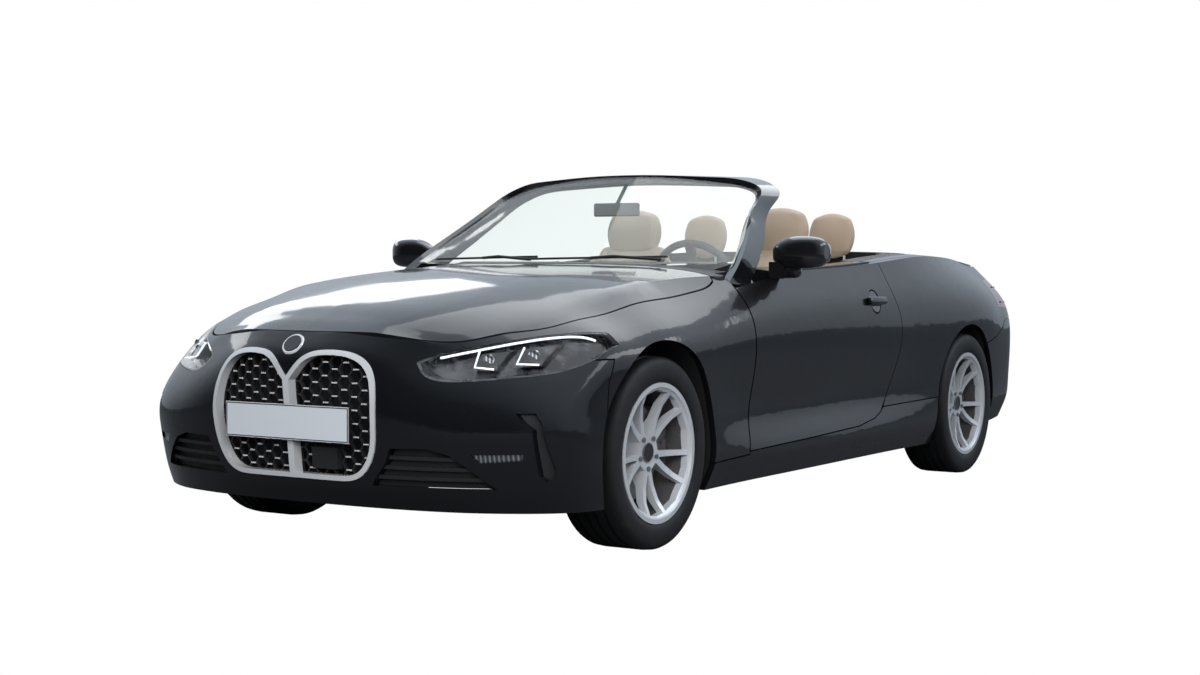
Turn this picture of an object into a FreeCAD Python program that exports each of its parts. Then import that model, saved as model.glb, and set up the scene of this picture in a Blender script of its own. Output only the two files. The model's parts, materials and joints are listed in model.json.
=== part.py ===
import FreeCAD, Part
import math
import os
import Sketcher
from FreeCAD import Placement, Rotation, Vector

# Two-door convertible car with its roof stowed. Front towards -Y, the car's left side towards +X,
# up +Z, millimetres. The origin is on the ground under the middle of the car's box.

SIZES = {
    "wheelbase": 2851,
    "front_overhang": 875,
    "rear_overhang": 1042,
    "half_width": 926,
    "belt_height": 1000,
    "screen_rise": 355,
    "front_track": 1575,
    "rear_track": 1611,
    "tyre_radius": 330,
    "tyre_width": 225,
    "rim_radius": 240,
    "rim_width": 214,
    "rim_wall": 7,
    "hub_radius": 72,
    "spindle_radius": 20,
    "disc_radius": 165,
    "disc_thickness": 28,
    "spoke_pairs": 5,
    "arch_gap": 55,
    "liner_wall": 5,
    "skin": 24,
    "lid_skin": 30,
    "door_thickness": 128,
    "seal_step": 14,
    "pin_radius": 8,
    "sill_rise": 24,
    "sill_thickness": 110,
    "panel_gap": 5,
    "lid_gap": 10,
    "fit": 0.3,
    "lamp_depth": 90,
    "ring_width": 17,
    "ring_stand": 6,
    "mesh_depth": 30,
    "mesh_wall": 12,
    "corner_turn": 38,
    "lid_ease": 1.5,
    "hex_side": 25,
    "hex_web": 3.5,
    "cover_wall": 4,
    "handle_dish": 52,
    "plate_width": 525,
    "plate_height": 115,
    "plate_thickness": 6,
    "glass_thickness": 6,
    "floor_wall": 14,
    "kingpin_inset": 52,
    "arm_radius": 16,
    "steering_radius": 185,
    "steering_grip": 15,
    "mirror_reach": 1040,
    "engine_width": 600,
    "engine_length": 720,
    "engine_height": 470,
    "pipe_radius": 45,
    "pipe_wall": 3,
    "seat_width": 520,
    "headrest_width": 260,
    "overrun": 400,
}

doc = FreeCAD.newDocument("convertible")
sheet = doc.addObject("Spreadsheet::Sheet", "Sizes")
for row, (name, value) in enumerate(SIZES.items(), 1):
    sheet.set(f"A{row}", str(value))
    sheet.setAlias(f"A{row}", name)
doc.recompute()


class Named:
    """The sheet's values by their names."""

    def __getattr__(self, name):
        return float(getattr(sheet, name))


size = Named()


def along(share):
    """Place along the car: -1 nose, 0 front axle, 1 rear axle, 2 tail."""
    middle = (size.wheelbase + size.rear_overhang - size.front_overhang) / 2
    if share < 0:
        run = share * size.front_overhang
    elif share < 1:
        run = share * size.wheelbase
    else:
        run = size.wheelbase + (share - 1) * size.rear_overhang
    return run - middle


def at(share):
    """A point from shares of the half width, the places along the car and the belt height."""
    x, s, z = share
    return Vector(x * size.half_width, along(s), z * size.belt_height)


# Loops round the left half of the body, from the nose's centre to the tail's centre.
# Each point is a share of half_width, a place along the car, and a share of belt_height.
FOOT_SHARES = [
    (0, -0.915, 0.195), (0.28, -0.905, 0.195), (0.48, -0.875, 0.192), (0.66, -0.815, 0.185),
    (0.785, -0.735, 0.178), (0.885, -0.64, 0.172), (0.94, -0.55, 0.17), (0.962, -0.44, 0.17),
    (0.965, -0.22, 0.17), (0.96, 0, 0.17), (0.95, 0.07, 0.17), (0.94, 0.135, 0.168),
    (0.93, 0.225, 0.165), (0.93, 0.38, 0.165), (0.93, 0.55, 0.168), (0.932, 0.70, 0.172),
    (0.938, 0.80, 0.178), (0.945, 0.87, 0.185), (0.95, 1, 0.195), (0.95, 1.2, 0.205),
    (0.94, 1.36, 0.212), (0.91, 1.56, 0.22), (0.85, 1.73, 0.225), (0.77, 1.80, 0.228),
    (0.57, 1.85, 0.23), (0.3, 1.88, 0.23), (0, 1.89, 0.23),
]
SILL_SHARES = [
    (0, -0.945, 0.25), (0.28, -0.935, 0.25), (0.48, -0.905, 0.25), (0.66, -0.845, 0.25),
    (0.79, -0.765, 0.25), (0.895, -0.665, 0.25), (0.95, -0.565, 0.25), (0.975, -0.44, 0.255),
    (0.985, -0.22, 0.26), (0.985, 0, 0.265), (0.98, 0.07, 0.265), (0.972, 0.135, 0.265),
    (0.972, 0.225, 0.262), (0.975, 0.38, 0.262), (0.978, 0.55, 0.265), (0.98, 0.70, 0.27),
    (0.982, 0.80, 0.275), (0.984, 0.87, 0.28), (0.985, 1, 0.29), (0.98, 1.2, 0.30),
    (0.97, 1.36, 0.305), (0.94, 1.56, 0.31), (0.88, 1.77, 0.31), (0.80, 1.85, 0.31),
    (0.60, 1.91, 0.31), (0.31, 1.95, 0.31), (0, 1.96, 0.31),
]
HOLLOW_SHARES = [
    (0, -0.965, 0.36), (0.28, -0.955, 0.36), (0.48, -0.93, 0.36), (0.66, -0.875, 0.36),
    (0.80, -0.79, 0.36), (0.905, -0.68, 0.36), (0.958, -0.57, 0.365), (0.978, -0.44, 0.37),
    (0.988, -0.22, 0.38), (0.99, 0, 0.38), (0.985, 0.07, 0.38), (0.972, 0.135, 0.38),
    (0.955, 0.225, 0.38), (0.948, 0.38, 0.38), (0.95, 0.55, 0.385), (0.963, 0.70, 0.39),
    (0.977, 0.80, 0.395), (0.988, 0.87, 0.40), (0.996, 1, 0.41), (0.99, 1.2, 0.41),
    (0.978, 1.36, 0.41), (0.95, 1.56, 0.41), (0.89, 1.785, 0.41), (0.815, 1.87, 0.41),
    (0.615, 1.935, 0.41), (0.32, 1.975, 0.41), (0, 1.99, 0.41),
]
WAIST_SHARES = [
    (0, -0.985, 0.50), (0.28, -0.972, 0.50), (0.48, -0.945, 0.50), (0.66, -0.875, 0.50),
    (0.80, -0.79, 0.50), (0.90, -0.68, 0.505), (0.95, -0.57, 0.51), (0.972, -0.44, 0.52),
    (0.985, -0.22, 0.545), (0.988, 0, 0.56), (0.985, 0.07, 0.56), (0.975, 0.135, 0.56),
    (0.966, 0.225, 0.56), (0.963, 0.38, 0.56), (0.967, 0.55, 0.565), (0.977, 0.70, 0.57),
    (0.985, 0.80, 0.58), (0.993, 0.87, 0.59), (1, 1, 0.61), (0.994, 1.2, 0.61),
    (0.982, 1.36, 0.61), (0.955, 1.56, 0.61), (0.895, 1.795, 0.61), (0.82, 1.88, 0.61),
    (0.62, 1.945, 0.61), (0.32, 1.985, 0.61), (0, 2, 0.61),
]
FLANK_SHARES = [
    (0, -0.99, 0.655), (0.26, -0.957, 0.655), (0.44, -0.885, 0.645), (0.60, -0.80, 0.645),
    (0.74, -0.70, 0.65), (0.845, -0.58, 0.665), (0.905, -0.49, 0.68), (0.945, -0.40, 0.70),
    (0.965, -0.2, 0.715), (0.972, 0, 0.735), (0.970, 0.07, 0.745), (0.966, 0.135, 0.755),
    (0.966, 0.225, 0.775), (0.969, 0.38, 0.79), (0.972, 0.55, 0.80), (0.975, 0.70, 0.81),
    (0.978, 0.80, 0.82), (0.982, 0.87, 0.825), (0.985, 1, 0.83), (0.975, 1.2, 0.83),
    (0.955, 1.36, 0.825), (0.92, 1.54, 0.82), (0.855, 1.77, 0.81), (0.77, 1.845, 0.80),
    (0.58, 1.91, 0.795), (0.30, 1.955, 0.79), (0, 1.97, 0.79),
]
CREST_SHARES = [
    (0, -0.915, 0.745), (0.22, -0.90, 0.742), (0.40, -0.845, 0.728), (0.535, -0.78, 0.715),
    (0.62, -0.70, 0.728), (0.675, -0.60, 0.755), (0.705, -0.51, 0.778), (0.73, -0.39, 0.805),
    (0.75, -0.2, 0.842), (0.772, 0, 0.882), (0.782, 0.07, 0.907), (0.80, 0.135, 0.922),
    (0.845, 0.225, 0.932), (0.885, 0.38, 0.948), (0.895, 0.55, 0.965), (0.895, 0.70, 0.99),
    (0.89, 0.80, 1.01), (0.875, 0.87, 1.02), (0.835, 1.0, 1.02), (0.805, 1.2, 1.012),
    (0.785, 1.36, 1.0), (0.76, 1.56, 0.985), (0.70, 1.73, 0.965), (0.60, 1.81, 0.962),
    (0.43, 1.875, 0.968), (0.22, 1.91, 0.972), (0, 1.92, 0.974),
]
# Rows across the top: place along the car, crest half width, crest height, centre height.
TOP_SHARES = [
    (-1.06, 0.42, 0.66, 0.67), (-0.915, 0.42, 0.700, 0.745), (-0.845, 0.42, 0.726, 0.775),
    (-0.78, 0.535, 0.715, 0.797), (-0.70, 0.62, 0.728, 0.822), (-0.60, 0.675, 0.755, 0.845),
    (-0.51, 0.705, 0.778, 0.862), (-0.39, 0.73, 0.805, 0.882), (-0.2, 0.75, 0.842, 0.91),
    (0, 0.772, 0.882, 0.932), (0.07, 0.782, 0.907, 0.95), (0.135, 0.80, 0.922, 0.963),
    (0.225, 0.845, 0.932, 0.98), (0.30, 0.868, 0.94, 0.987), (0.38, 0.885, 0.948, 0.99),
    (0.55, 0.895, 0.965, 0.993), (0.70, 0.895, 0.99, 1.01), (0.80, 0.89, 1.01, 1.035),
    (0.87, 0.875, 1.02, 1.045), (1.0, 0.835, 1.02, 1.05), (1.2, 0.805, 1.012, 1.042),
    (1.36, 0.785, 1.0, 1.03), (1.56, 0.76, 0.985, 1.012), (1.73, 0.70, 0.965, 0.998),
    (1.81, 0.60, 0.962, 0.99), (1.92, 0.43, 0.964, 0.976), (2.1, 0.43, 0.93, 0.945),
]
# How far from crest height to centre height the top stands, at shares of the crest's half width.
CROWN_SHARES = [(0, 1), (0.28, 0.96), (0.5, 0.87), (0.66, 0.72), (0.82, 0.43), (0.93, 0.18), (1, 0)]
BEYOND_SHARES = (1.15, 0.03)




def inward(points):
    """Level normals of a loop of points, towards the inside of the body."""
    out = []
    last = len(points) - 1
    for k in range(len(points)):
        run = points[min(k + 1, last)] - points[max(k - 1, 0)]
        normal = Vector(-run.y, run.x, 0)
        if k == 0:
            normal = Vector(0, 1, 0)
        if k == last:
            normal = Vector(0, -1, 0)
        normal.normalize()
        out.append(normal)
    return out


def loops(inset):
    """The body's loops from foot to crest, moved inwards, with one more below and above."""
    rows = []
    for shares in (FOOT_SHARES, SILL_SHARES, HOLLOW_SHARES, WAIST_SHARES, FLANK_SHARES, CREST_SHARES):
        points = [at(s) for s in shares]
        rows.append([p + n * inset for p, n in zip(points, inward(points))])
    below = [a + (a - b) * 0.4 for a, b in zip(rows[0], rows[1])]
    above = [a + (a - b) * 0.3 for a, b in zip(rows[-1], rows[-2])]
    return [below] + rows + [above]


def even(rows):
    """Parameters from 0 to 1 by the mean chord length along the rows."""
    steps = [0.0] * (len(rows[0]) - 1)
    for row in rows:
        chords = [a.distanceToPoint(b) for a, b in zip(row, row[1:])]
        for k, chord in enumerate(chords):
            steps[k] += chord / sum(chords) / len(rows)
    out = [0.0]
    for step in steps:
        out.append(out[-1] + step)
    out[-1] = 1.0
    return out


def spline(points, params, ends=None):
    curve = Part.BSplineCurve()
    if ends is None:
        curve.interpolate(Points=points, Parameters=params)
        return curve
    length = sum(a.distanceToPoint(b) for a, b in zip(points, points[1:]))
    curve.interpolate(Points=points, Parameters=params, InitialTangent=ends[0] * length,
                      FinalTangent=ends[1] * length, Scale=False)
    return curve


def surface(rows, ends=None):
    """One smooth surface through rows of points; ends fixes the rows' end directions."""
    us = even(rows)
    vs = even([[row[k] for row in rows] for k in range(len(rows[0]))])
    curves = [spline(row, us, ends) for row in rows]
    across = [spline([c.getPole(k + 1) for c in curves], vs) for k in range(curves[0].NbPoles)]
    out = Part.BSplineSurface()
    out.buildFromPolesMultsKnots(
        [c.getPoles() for c in across], curves[0].getMultiplicities(), across[0].getMultiplicities(),
        curves[0].getKnots(), across[0].getKnots(), False, False,
        curves[0].Degree, across[0].Degree)
    return out.toShape()


OUT_AND_BACK = (Vector(1, 0, 0), Vector(-1, 0, 0))


def half_ring(inset):
    """The body's left half without its top: the side surface closed by upright walls and caps."""
    rows = loops(inset)
    params = even(rows)
    side = surface(rows, OUT_AND_BACK)
    long_edges = [e for e in side.Edges if e.BoundBox.YLength > size.wheelbase]
    long_edges.sort(key=lambda e: e.Vertexes[0].Z)
    low, high = long_edges

    def level(row, z):
        points = [Vector(p.x, p.y, z) for p in row]
        return spline(points, params, OUT_AND_BACK).toShape()

    top = level(rows[-1], size.belt_height + size.screen_rise)
    bottom = level(rows[0], 0)

    def cap(edge):
        ends = [v.Point for v in edge.Vertexes]
        return Part.Face(Part.Wire([edge, Part.makeLine(ends[1], ends[0])]))

    walls = [Part.makeRuledSurface(high, top), Part.makeRuledSurface(bottom, low), side]
    faces = walls + [cap(top), cap(bottom)]
    middle = []
    for wall in walls:
        middle += [e for e in wall.Edges if e.BoundBox.XMax < size.skin]
    for edge in (top, bottom):
        ends = [v.Point for v in edge.Vertexes]
        middle.append(Part.makeLine(ends[0], ends[1]))
    faces.append(Part.Face(Part.Wire(Part.__sortEdges__(middle))))
    shell = Part.makeShell(faces)
    shell.sewShape()
    solid = Part.makeSolid(shell)
    if solid.Volume < 0:
        solid.reverse()
    return solid


def half_top(drop):
    """Everything under the car's top surface, left half."""
    rows = []
    for s, x, crest, centre in TOP_SHARES:
        row = []
        for f, g in CROWN_SHARES:
            row.append(at((x * f, s, crest + (centre - crest) * g)) - Vector(0, 0, drop))
        row.append(at((BEYOND_SHARES[0], s, crest + BEYOND_SHARES[1])) - Vector(0, 0, drop))
        rows.append(row)
    return surface(rows).extrude(Vector(0, 0, -2 * size.belt_height))


def half_body(inset, drop=None):
    """The left half of the body, shrunk by inset at its sides and by drop at its top."""
    return half_ring(inset).common(half_top(inset if drop is None else drop))


WAYS = {"side": Vector(1, 0, 0), "plan": Vector(0, 0, 1), "front": Vector(0, 1, 0)}


def corners_of(points, view, place):
    """The corners of an outline of shares. side: (s, z); plan: (x, s); front: (x, z)."""
    if view == "side":
        return [Vector(place, along(a), b * size.belt_height) for a, b in points]
    if view == "plan":
        return [Vector(a * size.half_width, along(b), place) for a, b in points]
    return [Vector(a * size.half_width, place, b * size.belt_height) for a, b in points]


def flat(points, view, place=0.0, grow=0.0, rounding=0.0):
    """A face from an outline of shares with straight edges."""
    corners = corners_of(points, view, place)
    face = Part.Face(Part.makePolygon(corners + corners[:1]))
    if rounding:
        face = face.makeOffset2D(-rounding, 0).makeOffset2D(rounding, 0)
    if grow:
        face = face.makeOffset2D(grow, 2)
    return face


def prism(points, view, low, high, grow=0.0, rounding=0.0):
    return flat(points, view, low, grow, rounding).extrude(WAYS[view] * (high - low))


def curved(points, view, low, high, grow=0.0):
    """A prism whose outline runs smoothly through its points and turns only at its sharp corners."""
    way = WAYS[view]
    corners = corners_of(points, view, low)
    count = len(corners)
    steps = [(corners[(i + 1) % count] - corners[i]).normalize() for i in range(count)]
    turns = [steps[i - 1].cross(steps[i]).dot(way) for i in range(count)]
    area = sum(corners[i - 1].cross(corners[i]).dot(way) for i in range(count))
    side = grow if area > 0 else -grow
    grown = []
    for i in range(count):
        before = steps[i - 1].cross(way)
        middle = (before + steps[i].cross(way)).normalize()
        grown.append(corners[i] + middle * (side / middle.dot(before)))
    limit = math.sin(math.radians(size.corner_turn))
    sharp = [i for i in range(count) if abs(turns[i]) > limit or steps[i - 1].dot(steps[i]) < 0]
    edges = []
    for a, b in zip(sharp, sharp[1:] + [sharp[0] + count]):
        run = [grown[i % count] for i in range(a, b + 1)]
        if len(run) == 2:
            edges.append(Part.makeLine(run[0], run[1]))
        else:
            line = Part.BSplineCurve()
            line.interpolate(Points=run)
            edges.append(line.toShape())
    return Part.Face(Part.Wire(edges)).extrude(way * (high - low))


def mirrored(shape):
    return shape.mirror(Vector(0, 0, 0), Vector(1, 0, 0))


def whole(shape):
    """Both halves of a shape that crosses the car's middle, as one piece."""
    return shape.fuse(mirrored(shape)).removeSplitter()


def pair(shape):
    return Part.makeCompound([shape, mirrored(shape)])


def place_of(x, s, z):
    return at((x, s, z))


NODES = {}


def add(name, shape):
    item = doc.addObject("Part::Feature", name)
    item.Label = name
    item.Shape = shape
    NODES[name] = item
    return item


def barrel(radius, length, start, way=Vector(1, 0, 0)):
    return Part.makeCylinder(radius, length, start, way)


def block(x0, x1, y0, y1, z0, z1):
    return Part.makeBox(x1 - x0, y1 - y0, z1 - z0, Vector(x0, y0, z0))


def rod(a, b, radius):
    return Part.makeCylinder(radius, a.distanceToPoint(b), a, b - a)


# Outlines, as shares.
BONNET_SHARES = [
    (-0.1, -0.912), (0.12, -0.908), (0.24, -0.893), (0.40, -0.843), (0.50, -0.795), (0.588, -0.735),
    (0.69, -0.60), (0.745, -0.52), (0.785, -0.44), (0.81, -0.343), (0.825, -0.25), (0.843, -0.08), (0.852, 0.03),
    (0.857, 0.09), (0.859, 0.14), (0.859, 0.178), (0.85, 0.197), (0.76, 0.212), (0.60, 0.21), (0.35, 0.20),
    (-0.1, 0.195),
]
COWL_SHARES = [
    (-0.1, 0.195), (0.35, 0.20), (0.60, 0.21), (0.76, 0.212), (0.835, 0.201), (0.85, 0.213), (0.85, 0.231),
    (0.80, 0.234), (0.80, 0.270), (0.78, 0.272), (0.70, 0.259), (0.54, 0.244), (0.27, 0.228), (-0.1, 0.222),
]
LAMP_SHARES = [
    (0.473, 0.652), (0.54, 0.604), (0.645, 0.597), (0.80, 0.611), (0.905, 0.632), (0.955, 0.668),
    (0.965, 0.715), (0.95, 0.731), (0.865, 0.747), (0.76, 0.734), (0.645, 0.708), (0.54, 0.683),
]
LAMP_END_SHARE = -0.30
BUMPER_SHARES = [
    (-1.2, 0.188), (-1.2, 0.85), (-0.77, 0.85), (-0.74, 0.66), (-0.36, 0.662), (-0.40, 0.59), (-0.40, 0.175),
]
WING_SHARES = [
    (-0.80, 0.90), (-0.74, 0.66), (-0.36, 0.662), (-0.40, 0.59), (-0.40, 0.05), (0.115, 0.05), (0.115, 0.262),
    (0.2265, 0.272), (0.232, 0.34), (0.2365, 0.40), (0.24, 0.48), (0.2415, 0.56), (0.241, 0.64), (0.239, 0.70),
    (0.2365, 0.76), (0.2343, 0.82), (0.233, 0.90), (0.2325, 1.1), (-0.80, 1.1),
]
DOOR_SHARES = [
    (0.228, 0.284), (0.2335, 0.34), (0.238, 0.40), (0.2415, 0.48), (0.243, 0.56), (0.2425, 0.64), (0.2405, 0.70),
    (0.238, 0.76), (0.2358, 0.82), (0.2345, 0.90), (0.234, 1.1), (0.694, 1.1), (0.694, 0.99), (0.6955, 0.93),
    (0.6985, 0.88), (0.7035, 0.84), (0.7105, 0.80), (0.7165, 0.76), (0.72, 0.72), (0.7205, 0.68), (0.719, 0.64),
    (0.715, 0.60), (0.7085, 0.55), (0.7005, 0.50), (0.6905, 0.45), (0.679, 0.405),
    (0.655, 0.352), (0.63, 0.33), (0.572, 0.308), (0.43, 0.296),
]
QUARTER_SHARES = [
    (0.694, 1.1), (0.694, 0.99), (0.6955, 0.93), (0.6985, 0.88), (0.7035, 0.84), (0.7105, 0.80), (0.7165, 0.76),
    (0.72, 0.72), (0.7205, 0.68), (0.719, 0.64), (0.715, 0.60), (0.7085, 0.55), (0.7005, 0.50), (0.6905, 0.45),
    (0.679, 0.405), (0.668, 0.372), (0.873, 0.382), (0.90, 0.40), (1.20, 0.60),
    (1.40, 0.636), (1.52, 0.675), (1.60, 0.715), (2.2, 0.735), (2.2, 1.1),
]
SILL_OUTLINE_SHARES = [
    (0.118, 0.05), (0.118, 0.262), (0.228, 0.272), (0.228, 0.284), (0.43, 0.296), (0.572, 0.308),
    (0.63, 0.33), (0.655, 0.352), (0.668, 0.372), (0.873, 0.382), (0.873, 0.05),
]
REAR_BUMPER_SHARES = [
    (1.20, 0.21), (1.20, 0.60), (1.40, 0.636), (1.52, 0.675), (1.60, 0.715), (2.2, 0.735), (2.2, 0.235),
]
STOW_SHARES = [
    (0.80, 0.6955), (0.853, 0.6955), (0.855, 0.78), (0.85, 0.86), (0.835, 0.93), (0.81, 1.05), (0.795, 1.255),
    (-0.1, 1.262), (-0.1, 1.02), (0.15, 1.019), (0.40, 1.01), (0.53, 1.001), (0.62, 0.985), (0.68, 0.962),
    (0.725, 0.93), (0.77, 0.87), (0.795, 0.78),
]
BOOT_SHARES = [
    (-0.1, 1.262), (0.79, 1.255), (0.79, 1.40), (0.765, 1.56), (0.70, 1.70), (0.60, 1.78), (0.60, 2.2), (-0.1, 2.2),
]
BOOT_FACE_SHARES = [(-0.1, 0.635), (0.53, 0.635), (0.55, 0.66), (0.55, 0.76), (0.575, 0.92), (0.575, 1.1), (-0.1, 1.1)]
TAIL_LAMP_SHARES = [
    (0.585, 0.918), (0.56, 0.76), (0.62, 0.745), (0.80, 0.755), (0.93, 0.775), (1.02, 0.80),
    (1.02, 0.845), (0.93, 0.885), (0.82, 0.915),
]
TAIL_LAMP_END_SHARE = 1.50
UNIT_SHARES = [
    [(0.645, 0.630), (0.715, 0.630), (0.725, 0.688), (0.655, 0.682)],
    [(0.755, 0.638), (0.825, 0.645), (0.835, 0.708), (0.765, 0.700)],
]
REAR_PLATE_SHARES = [(-0.1, 0.405), (0.30, 0.405), (0.315, 0.42), (0.315, 0.555), (0.30, 0.57), (-0.1, 0.57)]
LOBE_SHARES = [
    (-0.005, 0.27), (-0.005, 0.597), (0.03, 0.634), (0.06, 0.663), (0.10, 0.683), (0.155, 0.691),
    (0.215, 0.690), (0.275, 0.678), (0.318, 0.655), (0.348, 0.62), (0.366, 0.57), (0.374, 0.50), (0.372, 0.43),
    (0.36, 0.37), (0.335, 0.322), (0.30, 0.289), (0.255, 0.273), (0.20, 0.27), (0.10, 0.27),
]
INTAKE_SHARES = [
    (0.42, 0.385), (0.56, 0.388), (0.63, 0.37), (0.685, 0.331), (0.765, 0.262), (0.34, 0.262),
    (0.345, 0.275), (0.40, 0.34),
]
FOG_SHARES = [(0.70, 0.372), (0.725, 0.345), (0.845, 0.353), (0.848, 0.374)]
VENT_SHARES = [
    (0.825, 0.502), (0.875, 0.502), (0.893, 0.472), (0.918, 0.325), (0.916, 0.30), (0.895, 0.285),
    (0.88, 0.30), (0.872, 0.45), (0.85, 0.47),
]

# Body shells.
near = -size.overrun
far = 2 * size.half_width
nose = along(-1) - size.overrun
tail = along(2) + size.overrun
roof = size.belt_height + size.screen_rise
half_gap = size.panel_gap / 2
half_lid = size.lid_gap / 2

outer = half_body(0)
inner = half_body(size.skin)
skin = outer.cut(inner)
front_axle = Vector(0, along(0), size.tyre_radius)
rear_axle_at = Vector(0, along(1), size.tyre_radius)
arch = size.tyre_radius + size.arch_gap
rear_arch = arch - 2 * size.panel_gap


FRONT_LINER_SHARE = 0.51
REAR_LINER_SHARE = 0.72


def arches(grow=0.0):
    return [barrel(arch + grow, far, front_axle + Vector(FRONT_LINER_SHARE * size.half_width, 0, 0)),
            barrel(rear_arch + grow, far, rear_axle_at + Vector(REAR_LINER_SHARE * size.half_width, 0, 0))]


low_bonnet = 0.68 * size.belt_height
bonnet_hole = curved(BONNET_SHARES, "plan", low_bonnet, roof, half_gap)
lamp_hole = curved(LAMP_SHARES, "front", nose, along(LAMP_END_SHARE))
lobe_hole = curved(LOBE_SHARES, "front", nose, along(-0.6), 0)
cowl_hole = curved(COWL_SHARES, "plan", low_bonnet, roof, half_lid)

bumper = skin.common(prism(BUMPER_SHARES, "side", near, far, -half_gap))
openings = [prism(s, "front", nose, along(-0.4), 0) for s in (INTAKE_SHARES, FOG_SHARES, VENT_SHARES)]
bumper = bumper.cut([bonnet_hole, lamp_hole, lobe_hole] + openings + arches())
add("front_bumper", whole(bumper))

ring_solid = half_ring(-size.ring_stand).cut(half_ring(size.mesh_depth - size.fit))
lobe_outer = curved(LOBE_SHARES, "front", nose, along(-0.6), -size.fit)
lobe_inner = curved(LOBE_SHARES, "front", nose, along(-0.6), -size.ring_width)
surround = ring_solid.common(lobe_outer).cut(lobe_inner)
add("grille_surround", whole(surround))


def honeycomb(side, web, width, low, high):
    """Hexagonal prisms in columns from the middle outwards, with webs between them."""
    cells = []
    reach = side - web
    for column in range(math.ceil(width / (1.5 * side))):
        x = (column + 0.5) * 1.5 * side
        z = low + column % 2 * side * math.cos(math.pi / 6)
        while z < high:
            corners = [Vector(x + reach * math.cos(k * math.pi / 3), nose, z + reach * math.sin(k * math.pi / 3))
                       for k in range(7)]
            cells.append(Part.Face(Part.makePolygon(corners)).extrude(Vector(0, along(-0.6) - nose, 0)))
            z += 2 * side * math.cos(math.pi / 6)
    return Part.makeCompound(cells)


panel = half_ring(size.mesh_depth).cut(half_ring(size.mesh_depth + size.mesh_wall)).common(lobe_outer)
cells = honeycomb(size.hex_side, size.hex_web, 0.4 * size.half_width, 0.26 * size.belt_height, 0.70 * size.belt_height)
mesh = whole(panel.cut(cells.common(lobe_inner)))
sensor = half_ring(size.skin / 2).cut(half_ring(size.mesh_depth + size.mesh_wall))
sensor = sensor.common(block(0.078 * size.half_width, 0.19 * size.half_width, nose, along(-0.6),
                             0.305 * size.belt_height, 0.375 * size.belt_height))
add("grille_mesh", mesh.fuse(sensor))

slat_step = 0.032
slats = []
for k in range(3):
    z = (0.285 + slat_step * k) * size.belt_height
    slats.append(block(0, far, nose, tail, z, z + size.skin / 2))
slat_zone = prism(INTAKE_SHARES, "front", nose, along(-0.4), -size.fit)
slat_ring = half_ring(size.skin / 2).cut(half_ring(size.mesh_depth))
back_ring = half_ring(size.mesh_depth).cut(half_ring(size.mesh_depth + size.mesh_wall))
intake = slat_ring.common(Part.makeCompound(slats)).common(slat_zone).fuse(back_ring.common(slat_zone))
fog = half_ring(size.skin / 3).cut(half_ring(size.skin)).common(prism(FOG_SHARES, "front", nose, along(-0.4), -size.fit))
vent = half_ring(2 * size.skin / 3).cut(half_ring(size.skin)).common(
    prism(VENT_SHARES, "front", nose, along(-0.4), -size.fit))
dark = Part.makeCompound([intake.removeSplitter(), fog, vent])
add("intake_slats", Part.makeCompound([dark, mirrored(dark)]))

bonnet = skin.common(curved(BONNET_SHARES, "plan", low_bonnet, roof, -half_gap - 2 * size.fit))
bonnet = bonnet.cut(curved(COWL_SHARES, "plan", low_bonnet, roof, half_lid + half_gap))
bonnet = bonnet.cut(curved(LAMP_SHARES, "front", nose, along(-0.5), 3 * half_gap))
add("bonnet", whole(bonnet))

lamp_room = curved(LAMP_SHARES, "front", nose, along(LAMP_END_SHARE), -size.fit)
lamp_face = half_body(size.cover_wall + size.fit)
lamp_floor = half_body(size.lamp_depth / 2, size.skin - size.fit)
lamp = lamp_face.cut(half_body(size.lamp_depth, size.skin)).common(lamp_room).cut(bonnet_hole)
lamp_bowl = curved(LAMP_SHARES, "front", nose, along(LAMP_END_SHARE), -size.panel_gap)
units = [prism(row, "front", nose, along(-0.4)) for row in UNIT_SHARES]
units = half_body(size.skin / 2).common(Part.makeCompound(units))
lamp = lamp.cut(lamp_face.cut(lamp_floor).common(lamp_bowl).cut(units))
lamp = max(lamp.Solids, key=lambda s: s.Volume)
cover = outer.cut(half_body(size.cover_wall)).common(lamp_room).cut(bonnet_hole)
cover = max(cover.Solids, key=lambda s: s.Volume)
add("headlamps", Part.makeCompound([lamp, cover, mirrored(lamp), mirrored(cover)]))

wing = skin.common(prism(WING_SHARES, "side", near, far, -half_gap))
wing = wing.cut([bonnet_hole, lamp_hole, cowl_hole] + arches())
wing_edge = prism(DOOR_SHARES, "side", near, far, half_gap + size.seal_step)
wing = wing.cut(half_ring(size.ring_stand).common(wing_edge))
wing = max(wing.Solids, key=lambda s: s.Volume)
add("front_wings", pair(wing))

hinge_at = Vector(0.958 * size.half_width, along(0.261), 0.262 * size.belt_height)
foot_well = block(0, size.half_width * 0.892, along(0.20), along(0.36), 0.862 * size.belt_height, roof)
door = outer.cut(half_ring(size.door_thickness)).common(prism(DOOR_SHARES, "side", near, far, -half_gap))
seal_step = prism(DOOR_SHARES, "side", near, far, half_gap).cut(
    prism(DOOR_SHARES, "side", near, far, -half_gap - size.seal_step))
door = door.cut([foot_well, half_ring(size.skin).common(seal_step)])
handle_at = place_of(0, 0.63, 0.823)
dish = barrel(size.handle_dish, far, handle_at)
door = door.cut(outer.cut(half_ring(size.seal_step)).common(dish))
grip_room = block(0, far, handle_at.y - 1.35 * size.handle_dish, handle_at.y + 1.35 * size.handle_dish,
                  handle_at.z - size.handle_dish / 4, handle_at.z + size.handle_dish / 4)
door = door.fuse(half_ring(-size.pin_radius).cut(half_ring(size.fit)).common(grip_room))
hinge_pin = barrel(size.pin_radius, 2 * size.sill_rise, hinge_at, Vector(0, 0, 1))
hinge_bore = barrel(size.pin_radius + size.fit, 2 * size.sill_rise + 2 * size.fit, hinge_at, Vector(0, 0, 1))
door = door.cut(hinge_bore)
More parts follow.
